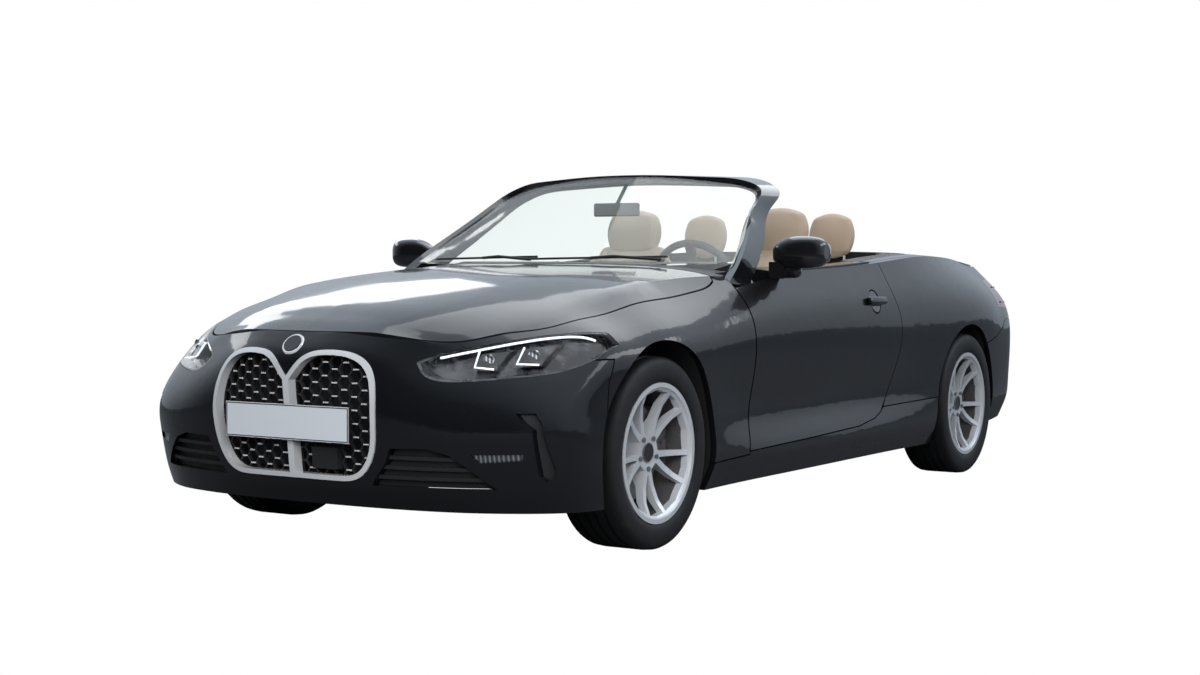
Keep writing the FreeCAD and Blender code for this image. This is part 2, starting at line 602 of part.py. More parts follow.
door = max(door.Solids, key=lambda s: s.Volume)
add("door_left", door)
add("door_right", mirrored(door))

sill_block = outer.cut(half_ring(size.sill_thickness))
sill = sill_block.common(prism(SILL_OUTLINE_SHARES, "side", near, far, -half_gap))
sill = sill.common(block(0, far, along(-1), along(2), 0.167 * size.belt_height, roof)).cut(
    arches(size.liner_wall + size.fit))
sill = sill.fuse(hinge_pin)
sill = max(sill.Solids, key=lambda s: s.Volume)
add("side_sills", pair(sill))

stow_hole = curved(STOW_SHARES, "plan", low_bonnet, roof, half_gap)
boot_hole = curved(BOOT_SHARES, "plan", 0.86 * size.belt_height - size.lid_gap, roof, half_gap)
boot_face = curved(BOOT_FACE_SHARES, "front", along(1.6), tail, half_gap)
tail_hole = curved(TAIL_LAMP_SHARES, "front", along(TAIL_LAMP_END_SHARE), tail)
cabin_hole = prism([(-0.1, 0.2), (0.80, 0.2), (0.80, 0.96), (-0.1, 1.1)], "plan", low_bonnet, roof)

quarter = skin.common(prism(QUARTER_SHARES, "side", near, far, -half_gap))
quarter = quarter.cut([stow_hole, boot_hole, boot_face, tail_hole, cabin_hole] + arches())
quarter = max(quarter.Solids, key=lambda s: s.Volume)
add("rear_quarters", pair(quarter))

rear_bumper = skin.common(prism(REAR_BUMPER_SHARES, "side", near, far, -half_gap))
pipe_at = Vector(0.60 * size.half_width, along(1.70), 0.285 * size.belt_height)
pipe_hole = barrel(size.pipe_radius + size.panel_gap, size.overrun, pipe_at, Vector(0, 1, 0))
plate_dish = outer.cut(half_ring(size.seal_step)).common(prism(REAR_PLATE_SHARES, "front", along(1.6), tail))
rear_bumper = rear_bumper.cut([boot_face, tail_hole, pipe_hole, plate_dish] + arches())
add("rear_bumper", whole(rear_bumper))

tail_lamp = outer.cut(half_body(2 * size.skin, size.skin))
tail_lamp = tail_lamp.common(curved(TAIL_LAMP_SHARES, "front", along(TAIL_LAMP_END_SHARE), tail, -size.fit))
tail_lamp = tail_lamp.cut([boot_hole, boot_face])
tail_lamp = max(tail_lamp.Solids, key=lambda s: s.Volume)
add("tail_lamps", pair(tail_lamp))

lid_wall = outer.cut(half_body(size.lid_skin))
stow = lid_wall.common(curved(STOW_SHARES, "plan", low_bonnet, roof, -half_gap))
stow = stow.cut(curved(BOOT_SHARES, "plan", low_bonnet, roof, half_lid))
stow = stow.common(block(near, far, along(0), along(2), 0.90 * size.belt_height, roof))
add("stow_lid", whole(max(stow.Solids, key=lambda s: s.Volume)))
boot_zone = curved(BOOT_SHARES, "plan", 0.86 * size.belt_height, roof, -size.panel_gap - size.lid_ease)
boot_zone = boot_zone.fuse(curved(BOOT_FACE_SHARES, "front", along(1.78), tail, -size.panel_gap))
boot = lid_wall.common(boot_zone).cut(curved(STOW_SHARES, "plan", low_bonnet, roof, half_lid))
boot = boot.cut(curved(TAIL_LAMP_SHARES, "front", along(TAIL_LAMP_END_SHARE), tail, size.panel_gap))
boot = max(boot.Solids, key=lambda s: s.Volume)
add("boot_lid", whole(boot))



def zone(x0, x1, s0, s1, z0, z1):
    """A block between shares of the half width, the length and the belt height."""
    return block(x0 * size.half_width, x1 * size.half_width, along(s0), along(s1),
                 z0 * size.belt_height, z1 * size.belt_height)


def place(x, s, z):
    return at((x, s, z))


# Windscreen and its frame.
GLASS_SHARES = [
    [(0, 0.222, 0.962), (0.27, 0.228, 0.964), (0.54, 0.246, 0.969), (0.70, 0.262, 0.974), (0.81, 0.279, 0.979)],
    [(0, 0.330, 1.172), (0.23, 0.335, 1.170), (0.46, 0.350, 1.163), (0.60, 0.364, 1.152), (0.735, 0.373, 1.140)],
    [(0, 0.425, 1.338), (0.20, 0.429, 1.335), (0.40, 0.438, 1.325), (0.52, 0.446, 1.312), (0.645, 0.455, 1.290)],
]
# The frame from its foot, up the pillar and across the top: front edge, rear edge, step inwards.
FRAME_SHARES = [
    ((0.858, 0.236, 0.905), (0.862, 0.288, 0.890), (-0.052, 0.0, -0.012)),
    ((0.842, 0.279, 0.988), (0.848, 0.320, 0.955), (-0.052, 0.001, -0.014)),
    ((0.775, 0.345, 1.108), (0.793, 0.380, 1.080), (-0.05, 0.002, -0.02)),
    ((0.712, 0.408, 1.223), (0.732, 0.439, 1.205), (-0.042, 0.003, -0.028)),
    ((0.662, 0.444, 1.292), (0.695, 0.486, 1.284), (-0.03, 0.0, -0.036)),
    ((0.585, 0.446, 1.319), (0.61, 0.497, 1.322), (-0.01, -0.001, -0.042)),
    ((0.44, 0.436, 1.334), (0.45, 0.492, 1.342), (0.0, 0.0, -0.043)),
    ((0.22, 0.428, 1.345), (0.22, 0.484, 1.351), (0.0, 0.0, -0.043)),
    ((0, 0.424, 1.349), (0, 0.480, 1.355), (0.0, 0.0, -0.043)),
]


def frame_section(front, rear, step):
    a = at(front)
    b = at(rear)
    c = Vector(step[0] * size.half_width, step[1] * size.wheelbase, step[2] * size.belt_height)
    return [a, b, b + c, a + c * 0.8]


def ring_wire(points):
    return Part.makePolygon(points + points[:1])


def flipped(p):
    return Vector(-p.x, p.y, p.z)


sections = [frame_section(*row) for row in FRAME_SHARES]
sections += [[flipped(p) for p in section] for section in reversed(sections[:-1])]


def tube_through(sections):
    """A solid whose corners run smoothly through the corners of the sections."""
    tracks = [[section[k] for section in sections] for k in range(len(sections[0]))]
    params = even(tracks)
    edges = [spline(track, params).toShape() for track in tracks]
    faces = [Part.makeRuledSurface(a, b) for a, b in zip(edges, edges[1:] + edges[:1])]
    ends = [Part.Face(ring_wire(sections[0])), Part.Face(ring_wire(sections[-1]))]
    shell = Part.makeShell(faces + ends)
    shell.sewShape()
    solid = Part.makeSolid(shell)
    if solid.Volume < 0:
        solid.reverse()
    return solid


frame = tube_through(sections)
pillar = frame
glass_rows = [[at(p) for p in row] for row in GLASS_SHARES]
glass_rows = [[flipped(p) for p in reversed(row[1:])] + row for row in glass_rows]
screen = surface(glass_rows)
slope = glass_rows[-1][4] - glass_rows[0][4]
through = Vector(0, slope.z, -slope.y).normalize()
glass = screen.extrude(through * size.glass_thickness * -1)
glass_room = screen.translated(through * 2 * size.fit).extrude(through * -(size.glass_thickness + 4 * size.fit))
frame = frame.cut(glass_room)
mirror_stalk = rod(place(0, 0.44, 1.32), place(-0.02, 0.418, 1.22), size.steering_grip / 2)
inside_mirror = zone(-0.135, 0.095, 0.414, 0.425, 1.176, 1.232)
inside_mirror = inside_mirror.makeFillet(size.steering_grip / 2, inside_mirror.Edges)
frame = max(frame.Solids, key=lambda s: s.Volume).fuse([mirror_stalk.cut(glass_room), inside_mirror])
add("windscreen_frame", frame)
cowl = outer.cut(half_body(size.skin / 2)).common(curved(COWL_SHARES, "plan", low_bonnet, roof, -half_lid))
cowl = max(cowl.Solids, key=lambda s: s.Volume)
add("cowl", whole(cowl))

glass = glass.cut(half_body(-size.fit)).cut(mirrored(half_body(-size.fit)))
add("windscreen", max(glass.Solids, key=lambda s: s.Volume))

# Floor, bulkheads, rails.
under_skin = half_body(size.skin + 2 * size.fit)
under_lid = half_body(size.lid_skin + 2 * size.fit)
under_cowl = half_body(size.skin / 2 + size.fit)
between_sills = half_ring(size.sill_thickness + size.fit)
wall = size.floor_wall
floor_z = 0.175 * size.belt_height
pan_z = 0.371 * size.belt_height
boot_z = 0.446 * size.belt_height
inside = 0.70 * size.half_width
TUNNEL_SHARE = 0.36
floor_face = floor_z + wall


def plate_at(x0, x1, s0, s1, z):
    return block(x0 * size.half_width, x1 * size.half_width, along(s0), along(s1), z, z + wall)


def upright(x1, s, z0, z1):
    return block(0, x1, along(s), along(s) + wall, z0, z1)


FIREWALL_SHARE = 0.2278
floor = plate_at(0, 1, FIREWALL_SHARE, 0.862, floor_z).common(between_sills)
tunnel = zone(0, 0.14, FIREWALL_SHARE, 0.86, 0.18, TUNNEL_SHARE).cut(
    block(-far, 0.14 * size.half_width - wall, along(0.2), along(0.9), 0, TUNNEL_SHARE * size.belt_height - wall))
tunnel_room = block(-far, 0.14 * size.half_width - wall, along(0.2) , along(0.9), 0, floor_face)
side_wall = block(inside, inside + wall, along(0.728), along(0.925) + wall, pan_z, roof).common(under_lid)
jamb = block(inside, far, along(0.728), along(0.728) + wall, floor_face, roof).common(under_lid)
bulkhead = upright(inside, 0.925, pan_z, roof).common(under_lid)
stop_at = [(0.36, -0.78, 0.57, under_skin), (0.30, 1.85, 0.59, under_lid)]
stops = []
for x, s, z, ceiling in stop_at:
    stop = barrel(size.arm_radius, size.belt_height, place(x, s, z), Vector(0, 0, 1))
    stops.append(stop.common(ceiling))
tub = floor.fuse([
    tunnel,
    upright(far, FIREWALL_SHARE, floor_z, 0.52 * size.belt_height).common(
        half_ring(size.door_thickness + 2 * size.panel_gap)),
    upright(0.82 * size.half_width, FIREWALL_SHARE, 0.48 * size.belt_height, roof).common(under_cowl),
    zone(0.76, 0.835, FIREWALL_SHARE, 0.285, 0.875, 0.90).cut(pillar),
    upright(inside, 0.755, floor_z, pan_z + wall),
    block(0, inside, along(0.755), along(0.925), pan_z, pan_z + wall),
    zone(0.42, 0.50, -0.82, 0.232, 0.39, 0.47),
    zone(0, 0.44, -0.82, -0.74, 0.22, 0.72).common(under_lid), stops[0],
])
sill_room = outer.cut(half_ring(size.sill_thickness + size.fit)).common(
    prism(SILL_OUTLINE_SHARES, "side", near, far, half_gap))
tub = tub.cut([tunnel_room.cut(block(-far, 0, along(0), along(1), -1, floor_z)), sill_room])
tub = max(tub.Solids, key=lambda s: s.Volume)
add("underbody", whole(tub))
boot = side_wall.fuse([
    jamb, bulkhead, stops[1],
    block(0, inside, along(0.925), along(1.86), boot_z, boot_z + wall),
    upright(inside, 1.86, boot_z, 0.60 * size.belt_height),
]).cut(sill_room)
add("boot_tub", whole(max(boot.Solids, key=lambda s: s.Volume)))

liner_top = half_body(size.skin + size.fit)
liners = []
for centre, radius, share in ((front_axle, arch, FRONT_LINER_SHARE), (rear_axle_at, rear_arch, REAR_LINER_SHARE)):
    start = centre + Vector(share * size.half_width, 0, 0)
    shell = barrel(radius + size.liner_wall, far, start).cut(barrel(radius, far, start))
    back = barrel(radius + size.liner_wall, size.liner_wall, start)
    back = back.cut(block(0, far, nose, tail, 0, size.tyre_radius + size.rim_radius * 0.6))
    keep = block(0, far, nose, tail, 0.19 * size.belt_height, roof)
    liner = shell.fuse(back)
    if centre is rear_axle_at:
        stay = barrel(size.arm_radius, size.belt_height, place(0.89, 0.92, 0.60), Vector(0, 0, 1))
        liner = liner.fuse(stay.common(liner_top).cut(barrel(radius, far, start)))
    liner = liner.common(liner_top).common(keep)
    liners.append(max(liner.Solids, key=lambda s: s.Volume))
add("wheel_liners", Part.makeCompound(liners + [mirrored(s) for s in liners]))

# Suspension and steering.
wheel_x = size.front_track / 2
rear_x = size.rear_track / 2
disc_face = size.disc_thickness + size.fit
kingpin_x = wheel_x - size.kingpin_inset
hub_half = size.arm_radius * 2
low_joint = 0.215 * size.belt_height
top_joint = 2 * size.tyre_radius - low_joint
pin = size.arm_radius / 2

arms = [
    zone(0, 0.48, -0.11, 0.028, 0.175, 0.235),
    block(kingpin_x - wheel_x * 0.5, kingpin_x, -size.arm_radius + along(0), size.arm_radius + along(0),
          low_joint - size.arm_radius - size.fit, low_joint - size.fit),
    barrel(size.arm_radius, size.arm_radius, Vector(kingpin_x, along(0), low_joint - size.arm_radius - size.fit),
           Vector(0, 0, 1)),
    barrel(pin, size.arm_radius, Vector(kingpin_x, along(0), low_joint - size.fit), Vector(0, 0, 1)),
    block(0.50 * size.half_width, kingpin_x, -size.arm_radius + along(0), size.arm_radius + along(0),
          top_joint + size.fit, top_joint + size.arm_radius + size.fit),
    barrel(size.arm_radius, size.arm_radius, Vector(kingpin_x, along(0), top_joint + size.fit), Vector(0, 0, 1)),
    barrel(pin, size.arm_radius + size.fit, Vector(kingpin_x, along(0), top_joint - size.arm_radius),
           Vector(0, 0, 1)),
    zone(0.50, 0.53, -0.06, 0.02, 0.36, 0.472),
    rod(place(0.62, 0, 0.205), place(0.60, 0, 0.50), size.arm_radius),
    zone(0.42, 0.48, -0.11, 0.028, 0.20, 0.39),
]
front_arms = arms[0].fuse(arms[1:])
front_arms = max(front_arms.Solids, key=lambda s: s.Volume)
add("front_subframe", whole(front_arms))

knuckle_face = wheel_x - disc_face
knuckle = block(kingpin_x - size.arm_radius, knuckle_face, along(0) - hub_half, along(0) + hub_half,
                low_joint, top_joint)
knuckle = knuckle.fuse(barrel(size.hub_radius * 0.8, knuckle_face - kingpin_x + size.arm_radius,
                              Vector(kingpin_x - size.arm_radius, along(0), size.tyre_radius)))
spindle_end = wheel_x + size.spindle_radius * 2
knuckle = knuckle.fuse(barrel(size.spindle_radius, spindle_end - kingpin_x,
                              Vector(kingpin_x, along(0), size.tyre_radius)))
for z in (low_joint, top_joint - size.arm_radius - size.fit * 2):
    knuckle = knuckle.cut(barrel(pin + size.fit, size.arm_radius + size.fit * 2, Vector(kingpin_x, along(0), z),
                                 Vector(0, 0, 1)))
add("knuckle_left", knuckle)
add("knuckle_right", mirrored(knuckle))

rear_face = rear_x - disc_face
carrier = block(rear_face - 2 * size.arm_radius, rear_face, along(1) - hub_half, along(1) + hub_half,
                low_joint, top_joint)
rear_parts = [
    barrel(size.hub_radius * 0.8, 2 * size.arm_radius,
           Vector(rear_face - 2 * size.arm_radius, along(1), size.tyre_radius)),
    barrel(size.spindle_radius, rear_x + size.spindle_radius * 2 - rear_face + size.arm_radius,
           Vector(rear_face - size.arm_radius, along(1), size.tyre_radius)),
    zone(0, 0.50, 0.965, 1.10, 0.20, 0.265),
    block(0.44 * size.half_width, 0.50 * size.half_width, along(0.965), along(1.0), 0.25 * size.belt_height,
          boot_z),
    barrel(size.hub_radius * 1.15, size.hub_radius * 2, Vector(0, along(1), size.tyre_radius)),
    barrel(size.arm_radius, rear_face - size.arm_radius, Vector(0, along(1), size.tyre_radius)),
    block(0.45 * size.half_width, rear_face - size.arm_radius, along(1) - size.arm_radius,
          along(1) + size.arm_radius, low_joint, low_joint + size.arm_radius),
]
rear_axle = carrier.fuse(rear_parts)
add("rear_axle", whole(rear_axle))

# Cabin.
DASH_SHARES = [
    (0.23275, 0.925), (0.282, 0.955), (0.345, 0.985), (0.375, 0.965), (0.388, 0.90), (0.385, 0.76),
    (0.365, 0.66), (0.30, 0.62), (0.23275, 0.62),
]
CONSOLE_SHARES = [
    (0.372, 0.36), (0.372, 0.645), (0.43, 0.635), (0.50, 0.585), (0.60, 0.60), (0.675, 0.59), (0.68, 0.36),
]
SEAT_SHARES = [
    (0.440, 0.39), (0.432, 0.47), (0.442, 0.515), (0.47, 0.53), (0.585, 0.49), (0.60, 0.52), (0.640, 0.80),
    (0.662, 1.02), (0.668, 1.065), (0.685, 1.075), (0.700, 1.05), (0.702, 0.95), (0.68, 0.60), (0.665, 0.42),
    (0.64, 0.37), (0.46, 0.36),
]
SEAT_FOOT_SHARES = [(0.48, 0.189), (0.46, 0.37), (0.64, 0.38), (0.63, 0.189)]
HEADREST_SHARES = [
    (0.668, 1.08), (0.660, 1.16), (0.663, 1.215), (0.672, 1.232), (0.690, 1.225), (0.697, 1.16), (0.692, 1.085),
]
REAR_SEAT_SHARES = [
    (0.775, 0.385), (0.768, 0.47), (0.776, 0.515), (0.80, 0.525), (0.862, 0.49), (0.876, 0.52), (0.888, 0.80),
    (0.892, 0.955), (0.9245, 0.955), (0.9245, 0.385),
]
REAR_REST_SHARES = [
    (0.889, 1.03), (0.882, 1.09), (0.882, 1.18), (0.889, 1.222), (0.906, 1.218), (0.911, 1.17),
    (0.910, 1.09), (0.906, 1.03),
]
TRIM_SHARES = [
    (0.785, 0.70), (0.785, 0.78), (0.765, 0.865), (0.715, 0.932), (0.615, 0.977), (0.40, 1.002), (-0.1, 1.012),
    (-0.1, 0.925), (0.40, 0.922), (0.58, 0.919), (0.66, 0.88), (0.695, 0.81), (0.695, 0.70),
]

dash = prism(DASH_SHARES, "side", 0, 0.72 * size.half_width)
column_way = (place(0.40, 0.42, 0.893) - place(0.40, 0.30, 0.72)).normalize()
wheel_centre = Vector(0.40 * size.half_width, along(0.422), 0.893 * size.belt_height)
add("dashboard", whole(dash))
console = prism(CONSOLE_SHARES, "side", -0.11 * size.half_width, 0.11 * size.half_width)
add("centre_console", console)


def seat_body(name, x):
    half = size.seat_width / 2
    rest = size.headrest_width / 2
    middle = x * size.half_width
    cushion = prism(SEAT_SHARES, "side", middle - half, middle + half)
    foot = prism(SEAT_FOOT_SHARES, "side", middle - rest, middle + rest)
    headrest = prism(HEADREST_SHARES, "side", middle - rest, middle + rest)
    posts = [barrel(pin * 0.8, 0.07 * size.belt_height,
                    Vector(middle + d * rest / 2, along(0.682), 1.04 * size.belt_height), Vector(0, 0, 1))
             for d in (-1, 1)]
    return add(name, cushion.fuse([foot, headrest] + posts))


seat_body("front_seat_left", 0.405)
seat_body("front_seat_right", -0.405)

bench = prism(REAR_SEAT_SHARES, "side", 0, 0.66 * size.half_width)
rest = size.headrest_width / 2
rear_rest = prism(REAR_REST_SHARES, "side", 0.39 * size.half_width - rest, 0.39 * size.half_width + rest)
rear_posts = [barrel(pin * 0.8, 0.10 * size.belt_height,
                     Vector(0.39 * size.half_width + d * rest / 2, along(0.8985), 0.94 * size.belt_height),
                     Vector(0, 0, 1)) for d in (-1, 1)]
add("rear_seats", whole(bench.fuse([rear_rest] + rear_posts)))

trim = half_body(size.fit * 10).cut(half_body(size.lid_skin + size.fit)).common(
    curved(TRIM_SHARES, "plan", low_bonnet, roof, -half_gap))
add("rear_cover", whole(max(trim.Solids, key=lambda s: s.Volume)))

# Engine, exhaust, plate, mirrors.
engine = doc.addObject("Part::Box", "engine_block")
engine.Label = "engine_block"
engine.setExpression("Length", "<<Sizes>>.engine_width")
engine.setExpression("Width", "<<Sizes>>.engine_length")
engine.setExpression("Height", "<<Sizes>>.engine_height")
engine.Placement = Placement(Vector(-size.engine_width / 2, along(-0.22), 0.235 * size.belt_height), Rotation())
NODES["engine_block"] = engine

silencer = zone(0.25, 0.66, 1.42, 1.70, 0.235, 0.345)
tail_pipe = barrel(size.pipe_radius, along(1.945) - along(1.66), pipe_at - Vector(0, along(1.70) - along(1.66), 0),
                   Vector(0, 1, 0))
tail_bore = barrel(size.pipe_radius - size.pipe_wall, size.overrun,
                   pipe_at + Vector(0, size.pipe_radius, 0), Vector(0, 1, 0))
PIPE_SHARES = [(0.10, 0.15, 0.235), (0.10, 0.15, 0.145), (0.10, 0.86, 0.145), (0.30, 1.16, 0.160), (0.42, 1.46, 0.29)]
pipes = [rod(place(*a), place(*b), size.pipe_radius * 0.6) for a, b in zip(PIPE_SHARES, PIPE_SHARES[1:])]
bends = [Part.makeSphere(size.pipe_radius * 0.6, place(*a)) for a in PIPE_SHARES[1:4]]
system = silencer.fuse([tail_pipe] + pipes + bends).cut(tail_bore)
add("exhaust", whole(system))

plate_z = 0.454 * size.belt_height
plate_y = along(-0.999)
plate = block(-size.plate_width / 2, size.plate_width / 2, plate_y, plate_y + size.lamp_depth,
              plate_z - size.plate_height / 2, plate_z + size.plate_height / 2)
stand = half_ring(-size.ring_stand - size.fit)
holder = plate.copy()
plate = block(-size.plate_width / 2, size.plate_width / 2, plate_y, plate_y + 1.5 * size.glass_thickness,
              plate_z - size.plate_height / 2, plate_z + size.plate_height / 2)
holder = holder.common(block(-0.3 * size.plate_width, 0.3 * size.plate_width, nose, along(-0.6),
                             plate_z - size.plate_height / 3, plate_z + size.plate_height / 3))
plate = plate.fuse(holder).cut([stand, mirrored(stand)])
add("front_plate", max(plate.Solids, key=lambda s: s.Volume))

MIRROR_SHARES = [
    (0.84, 0.337, 0.356, 0.985, 1.045), (0.90, 0.329, 0.362, 0.966, 1.074), (0.97, 0.326, 0.366, 0.959, 1.084),
    (1.00, 0.328, 0.366, 0.962, 1.082), (0.985, 0.335, 0.364, 0.972, 1.072), (1.0, 0.344, 0.360, 0.992, 1.05),
]


def mirror_section(row, reach):
    """A rounded closed outline at one distance from the car's middle."""
    x, s0, s1, z0, z1 = row
    middle = Vector(reach, (along(s0) + along(s1)) / 2, (z0 + z1) / 2 * size.belt_height)
    half_y = (along(s1) - along(s0)) / 2
    half_z = (z1 - z0) / 2 * size.belt_height
    points = []
    for k in range(12):
        turn = k * math.pi / 6
        squarer = [math.copysign(abs(w) ** 0.7, w) for w in (math.cos(turn), math.sin(turn))]
        points.append(middle + Vector(0, half_y * squarer[0], half_z * squarer[1]))
    outline = Part.BSplineCurve()
    outline.interpolate(Points=points, PeriodicFlag=True)
    return Part.Wire(outline.toShape())


reaches = [0.80, 0.845, 0.90, 0.95, 0.985, 1.0]
reaches_share = reaches
housing = Part.makeLoft([mirror_section(row, r * size.mirror_reach)
                         for row, r in zip(MIRROR_SHARES, reaches_share)], True, False)
stalk = zone(0.885, 0.955, 0.334, 0.358, 0.92, 0.985)
side_mirror = housing.fuse(stalk).cut(half_body(-size.fit))
side_mirror = max(side_mirror.Solids, key=lambda s: s.Volume)
add("mirror_left", side_mirror)
add("mirror_right", mirrored(side_mirror))


# Turned pieces.
def origin_plane(body, role):
    return [f for f in body.Origin.OriginFeatures if f.Role == role][0]


def profile(body, name, role, points):
    sketch = body.newObject("Sketcher::SketchObject", name)
    sketch.AttachmentSupport = [(origin_plane(body, role), "")]
    sketch.MapMode = "FlatFace"
    last = len(points)
    for k in range(last):
        a, b = points[k], points[(k + 1) % last]
        sketch.addGeometry(Part.LineSegment(Vector(a[0], a[1], 0), Vector(b[0], b[1], 0)), False)
    for k in range(last):
        sketch.addConstraint(Sketcher.Constraint("Coincident", k, 2, (k + 1) % last, 1))
    return sketch


def turned(body, name, points):
    sketch = profile(body, name + "_section", "XZ_Plane", points)
    turn = body.newObject("PartDesign::Revolution", name)
    turn.Profile = sketch
    turn.ReferenceAxis = (sketch, ["V_Axis"])
    turn.Angle = 360
    sketch.Visibility = False
    return turn


bead = size.rim_radius - size.spindle_radius * 0.6
half_rim = size.rim_width / 2
flange = size.rim_wall * 1.2


def tyre_profile():
    w = size.tyre_width / 2
    r = size.tyre_radius
    side = [(bead + size.fit, half_rim - 2 * flange - size.fit),
            (size.rim_radius + size.fit, half_rim - flange - size.fit),
            (size.rim_radius + flange, half_rim - flange / 2), (0.84 * r, w), (0.92 * r, 0.99 * w),
            (0.975 * r, 0.91 * w), (r, 0.76 * w)]
    return side + [(a, -b) for a, b in reversed(side)]


def polar(radius, degrees):
    return (radius * math.cos(math.radians(degrees)), radius * math.sin(math.radians(degrees)))


def rim_profile():
    bore = size.spindle_radius + size.fit
    inside = bead - size.rim_wall
    face = half_rim
    deep = size.spindle_radius * 2 + size.fit
    return [
        (0, deep + size.rim_wall * 2), (0, deep), (bore, deep), (bore, -size.disc_thickness),
        (size.disc_radius, -size.disc_thickness), (size.disc_radius, 0), (size.hub_radius, 0),
        (0.55 * inside, 0.30 * face), (0.78 * inside, 0.42 * face), (inside, 0.70 * face), (inside, -half_rim),
        (size.rim_radius, -half_rim), (size.rim_radius, -half_rim + flange), (bead, -half_rim + 2 * flange),
        (bead, half_rim - 2 * flange), (size.rim_radius, half_rim - flange), (size.rim_radius, half_rim),
        (inside + size.rim_wall / 2, half_rim), (inside, 0.93 * face), (0.78 * inside, 0.68 * face),
        (0.55 * inside, 0.58 * face), (0.9 * size.hub_radius, 0.56 * face),
    ]


def make_rim(name, where):
    body = doc.addObject("PartDesign::Body", name)
    body.Label = name
    turned(body, name + "_turned", rim_profile())
    reach = (bead - size.rim_wall) * 0.965
    root = size.hub_radius * 0.9
    period = 180 / size.spoke_pairs
    cuts = []
    windows = [[polar(1.2 * root, -2), polar(1.2 * root, 2), polar(reach, 11.5), polar(reach * 1.01, 0),
                polar(reach, -11.5)],
               [polar(root, period - 17), polar(root, period + 17), polar(reach, period + 19.5),
                polar(reach * 1.01, period), polar(reach, period - 19.5)]]
    for k, window in enumerate(windows):
        sketch = profile(body, f"{name}_window{k}", "XY_Plane", window)
        cut = body.newObject("PartDesign::Pocket", f"{name}_cut{k}")
        cut.Profile = sketch
        cut.Reversed = True
        cut.setExpression("Length", "<<Sizes>>.rim_width / 2")
        cuts.append(cut)
        sketch.Visibility = False
    pattern = body.newObject("PartDesign::PolarPattern", name + "_windows")
    pattern.Originals = cuts
    pattern.Axis = (cuts[0].Profile[0], ["N_Axis"])
    pattern.Angle = 360
    pattern.setExpression("Occurrences", "<<Sizes>>.spoke_pairs")
    body.Tip = pattern
    body.Placement = where
    NODES[name] = body


def make_tyre(name, where):
    body = doc.addObject("PartDesign::Body", name)
    body.Label = name
    turned(body, name + "_turned", tyre_profile())
    body.Placement = where
    NODES[name] = body


for corner, x, s in (("front_left", wheel_x, 0), ("front_right", -wheel_x, 0),
                     ("rear_left", rear_x, 1), ("rear_right", -rear_x, 1)):
    turn = Rotation(Vector(0, 1, 0), 90 if x > 0 else -90)
    where = Placement(Vector(x, along(s), size.tyre_radius), turn)
    make_tyre("tyre_" + corner, where)
    make_rim("rim_" + corner, where)

# steering wheel: rim, hub and three spokes
grip = doc.addObject("Part::Torus", "steering_rim")
grip.setExpression("Radius1", "<<Sizes>>.steering_radius")
grip.setExpression("Radius2", "<<Sizes>>.steering_grip")
boss = doc.addObject("Part::Cylinder", "steering_boss")
boss.setExpression("Radius", "<<Sizes>>.steering_grip * 4.2")
boss.setExpression("Height", "<<Sizes>>.steering_grip * 3")
boss.Placement = Placement(Vector(0, 0, -2 * size.steering_grip), Rotation())
arms_of_wheel = [grip, boss]
for k, turn in enumerate((0, 180, 270)):
    spoke = doc.addObject("Part::Box", f"steering_spoke{k}")
    spoke.setExpression("Length", "<<Sizes>>.steering_radius")
    spoke.setExpression("Width", "<<Sizes>>.steering_grip * 2.4")
    spoke.setExpression("Height", "<<Sizes>>.steering_grip")
    spin = Rotation(Vector(0, 0, 1), turn)
    spoke.Placement = Placement(spin.multVec(Vector(0, -1.2 * size.steering_grip, -size.steering_grip / 2)), spin)
    arms_of_wheel.append(spoke)
wheel = doc.addObject("Part::MultiFuse", "steering_wheel")
wheel.Label = "steering_wheel"
wheel.Shapes = arms_of_wheel
tilt = Rotation(Vector(1, 0, 0), -65)
wheel.Placement = Placement(wheel_centre, tilt)
NODES["steering_wheel"] = wheel

doc.recompute()
axis_way = tilt.multVec(Vector(0, 0, 1))
column_top = wheel_centre - axis_way * (2 * size.steering_grip + size.fit)
column = rod(column_top, column_top - axis_way * size.steering_radius * 0.9, size.steering_grip * 1.8)
dash_item = NODES["dashboard"]
dash_item.Shape = dash_item.Shape.fuse(column)

doc.recompute()
for item in doc.Objects:
    if "Invalid" in item.State or "Error" in item.State:
        raise RuntimeError(item.Name + " failed")
for name, item in NODES.items():
    if item.Shape.isNull() or not item.Shape.isValid():
        raise RuntimeError(name + " has no valid shape")

os.makedirs("parts", exist_ok=True)
for name, item in NODES.items():
    item.Shape.exportStep(f"parts/{name}.step")
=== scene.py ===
"""Finishes, seats, lamps, wheels and trim of a four-seat open car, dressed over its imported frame."""

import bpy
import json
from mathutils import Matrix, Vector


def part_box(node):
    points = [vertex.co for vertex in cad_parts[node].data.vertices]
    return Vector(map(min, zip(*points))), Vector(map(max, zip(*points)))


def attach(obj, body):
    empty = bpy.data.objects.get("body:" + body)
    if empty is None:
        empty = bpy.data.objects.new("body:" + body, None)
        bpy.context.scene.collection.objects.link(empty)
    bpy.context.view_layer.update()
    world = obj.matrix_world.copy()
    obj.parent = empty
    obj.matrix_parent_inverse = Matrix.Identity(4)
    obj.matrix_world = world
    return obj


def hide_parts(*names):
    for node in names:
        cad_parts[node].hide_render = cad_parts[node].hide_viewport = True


bl_info = {
    "name": "Open Car Dresser",
    "version": (1, 0, 0),
    "blender": (4, 5, 0),
    "location": "View3D > Sidebar > Open Car",
    "description": "Adds finishes, seats, lamps, tyres and trim to the packed frame of an open car",
    "category": "Object",
}

import json
import math

import bmesh
import bpy
from mathutils import Matrix, Vector
from mathutils.bvhtree import BVHTree

